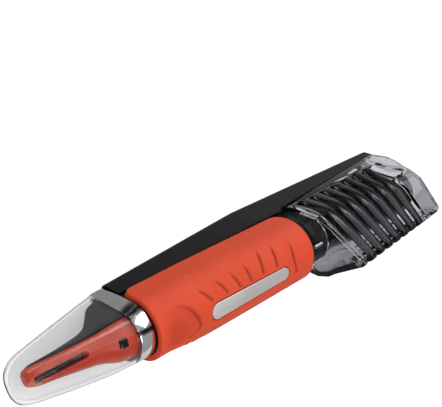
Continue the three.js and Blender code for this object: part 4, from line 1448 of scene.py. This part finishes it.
@dataclass
class Studio:
    """Camera, floor and lights."""

    frame: BuildFrame
    eye: Point3 = (-135.72, -81.54, 195.88)
    ahead: Point3 = (0.66375, 0.34919, -0.66144)
    up: Point3 = (0.30328, 0.68272, 0.66477)
    focal_share: float = 851.16 / 442.0
    sky: float = 0.62
    mirrored_sky: float = 0.30
    floor_glow: float = 0.75
    glow_through: float = 0.62

    def build_camera(self) -> None:
        """Sets the camera."""
        data = bpy.data.cameras.new("view")
        camera = bpy.data.objects.new("view", data)
        bpy.context.scene.collection.objects.link(camera)
        back = -self.frame.turn(*self.ahead).normalized()
        up = self.frame.turn(*self.up).normalized()
        right = up.cross(back).normalized()
        up = back.cross(right)
        turn = Matrix((right, up, back)).transposed().to_4x4()
        camera.matrix_world = Matrix.Translation(self.frame.place(*self.eye)) @ turn
        data.sensor_width = 36.0
        data.lens = 36.0 * self.focal_share
        data.clip_start = 0.01
        data.clip_end = 20.0
        bpy.context.scene.camera = camera

    def build_floor(self) -> None:
        """Lays a pale floor under the trimmer."""
        mesh = bpy.data.meshes.new("floor")
        reach = 4.0
        mesh.from_pydata([(-reach, -reach, -0.0002), (reach, -reach, -0.0002), (reach, reach, -0.0002),
                          (-reach, reach, -0.0002)], [], [(0, 1, 2, 3)])
        floor = bpy.data.objects.new("floor", mesh)
        bpy.context.scene.collection.objects.link(floor)
        material = bpy.data.materials.new("floor_white")
        material.use_nodes = True
        shader = material.node_tree.nodes["Principled BSDF"]
        shader.inputs["Base Color"].default_value = (0.5, 0.5, 0.5, 1.0)
        shader.inputs["Roughness"].default_value = 0.9
        shader.inputs["Specular IOR Level"].default_value = 0.1
        nodes = Nodes(material.node_tree)
        path = nodes.add("ShaderNodeLightPath")
        through = nodes.add("ShaderNodeMath", {0: path.outputs["Is Transmission Ray"],
                                               1: self.glow_through},
                            operation="MULTIPLY")
        seen = nodes.add("ShaderNodeMath", {0: path.outputs["Is Camera Ray"], 1: through.outputs[0]},
                         operation="MAXIMUM")
        glow = nodes.add("ShaderNodeMath", {0: seen.outputs[0], 1: self.floor_glow},
                         operation="MULTIPLY")
        shader.inputs["Emission Color"].default_value = (1.0, 1.0, 1.0, 1.0)
        nodes.link(glow.outputs[0], shader.inputs["Emission Strength"])
        mesh.materials.append(material)
        floor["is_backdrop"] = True

    def area(self, name: str, place: Point3, target: Point3, size: Point2,
             power: float) -> bpy.types.Object:
        """Adds a soft rectangular light.

        Args:
            name: Its name.
            place: Where it hangs, in metres.
            target: What it points at.
            size: Its width and height in metres.
            power: Its power in watts.

        Returns:
            The light.
        """
        data = bpy.data.lights.new(name, "AREA")
        data.shape = "RECTANGLE"
        data.size, data.size_y = size
        data.energy = power
        light = bpy.data.objects.new(name, data)
        bpy.context.scene.collection.objects.link(light)
        aim = Vector(target) - Vector(place)
        light.location = place
        light.rotation_euler = aim.to_track_quat("-Z", "Y").to_euler()
        return light

    def build_lights(self) -> None:
        """Lights the room evenly, with a key from above and strips for the highlights."""
        world = bpy.data.worlds.new("studio")
        bpy.context.scene.world = world
        world.use_nodes = True
        nodes = Nodes(world.node_tree)
        background = world.node_tree.nodes["Background"]
        background.inputs["Color"].default_value = (1.0, 1.0, 1.0, 1.0)
        path = nodes.add("ShaderNodeLightPath")
        level = nodes.add("ShaderNodeMapRange", {"Value": path.outputs["Is Glossy Ray"], "To Min": self.sky,
                                                 "To Max": self.mirrored_sky})
        nodes.link(level.outputs["Result"], background.inputs["Strength"])
        self.area("key", (-0.25, -0.35, 0.8), (0.0, 0.0, 0.0), (0.6, 0.6), 5.0)
        self.area("spine_strip", (0.2, 0.6, 0.45), (0.0, 0.0, 0.0), (0.8, 0.15), 2.0)
        gleam = self.area("gleam", (0.40, 0.36, 0.60), (-0.05, 0.0, 0.015), (0.7, 0.8), 3.2)
        gleam.visible_diffuse = False

    def build(self) -> None:
        """Builds the whole studio."""
        bpy.context.scene.view_settings.view_transform = "Standard"
        self.build_camera()
        self.build_floor()
        self.build_lights()


def main(nodes: dict[str, bpy.types.Object], cad_bounds: object) -> None:
    """Args:
        nodes: CAD nodes by name.
        cad_bounds: The whole object's box right after the frame was loaded; not used.
    """
    logging.basicConfig(level=logging.INFO, format="%(name)s: %(message)s")
    shop = Workshop()
    row = RowOfPlates()
    studio = Studio(shop.frame)
    studio.build()
    makers: list[Callable[[], None]] = [
        Core(shop).build, Grip(shop).build, Cap(shop).build, DetailHead(shop, row).build,
        WideHead(shop, row).build, CombGuard(shop, row).build,
    ]
    for make in makers:
        make()
    dress_carried_nodes(shop, nodes)


if __name__ == "__main__":
    main(frame["nodes"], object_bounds())
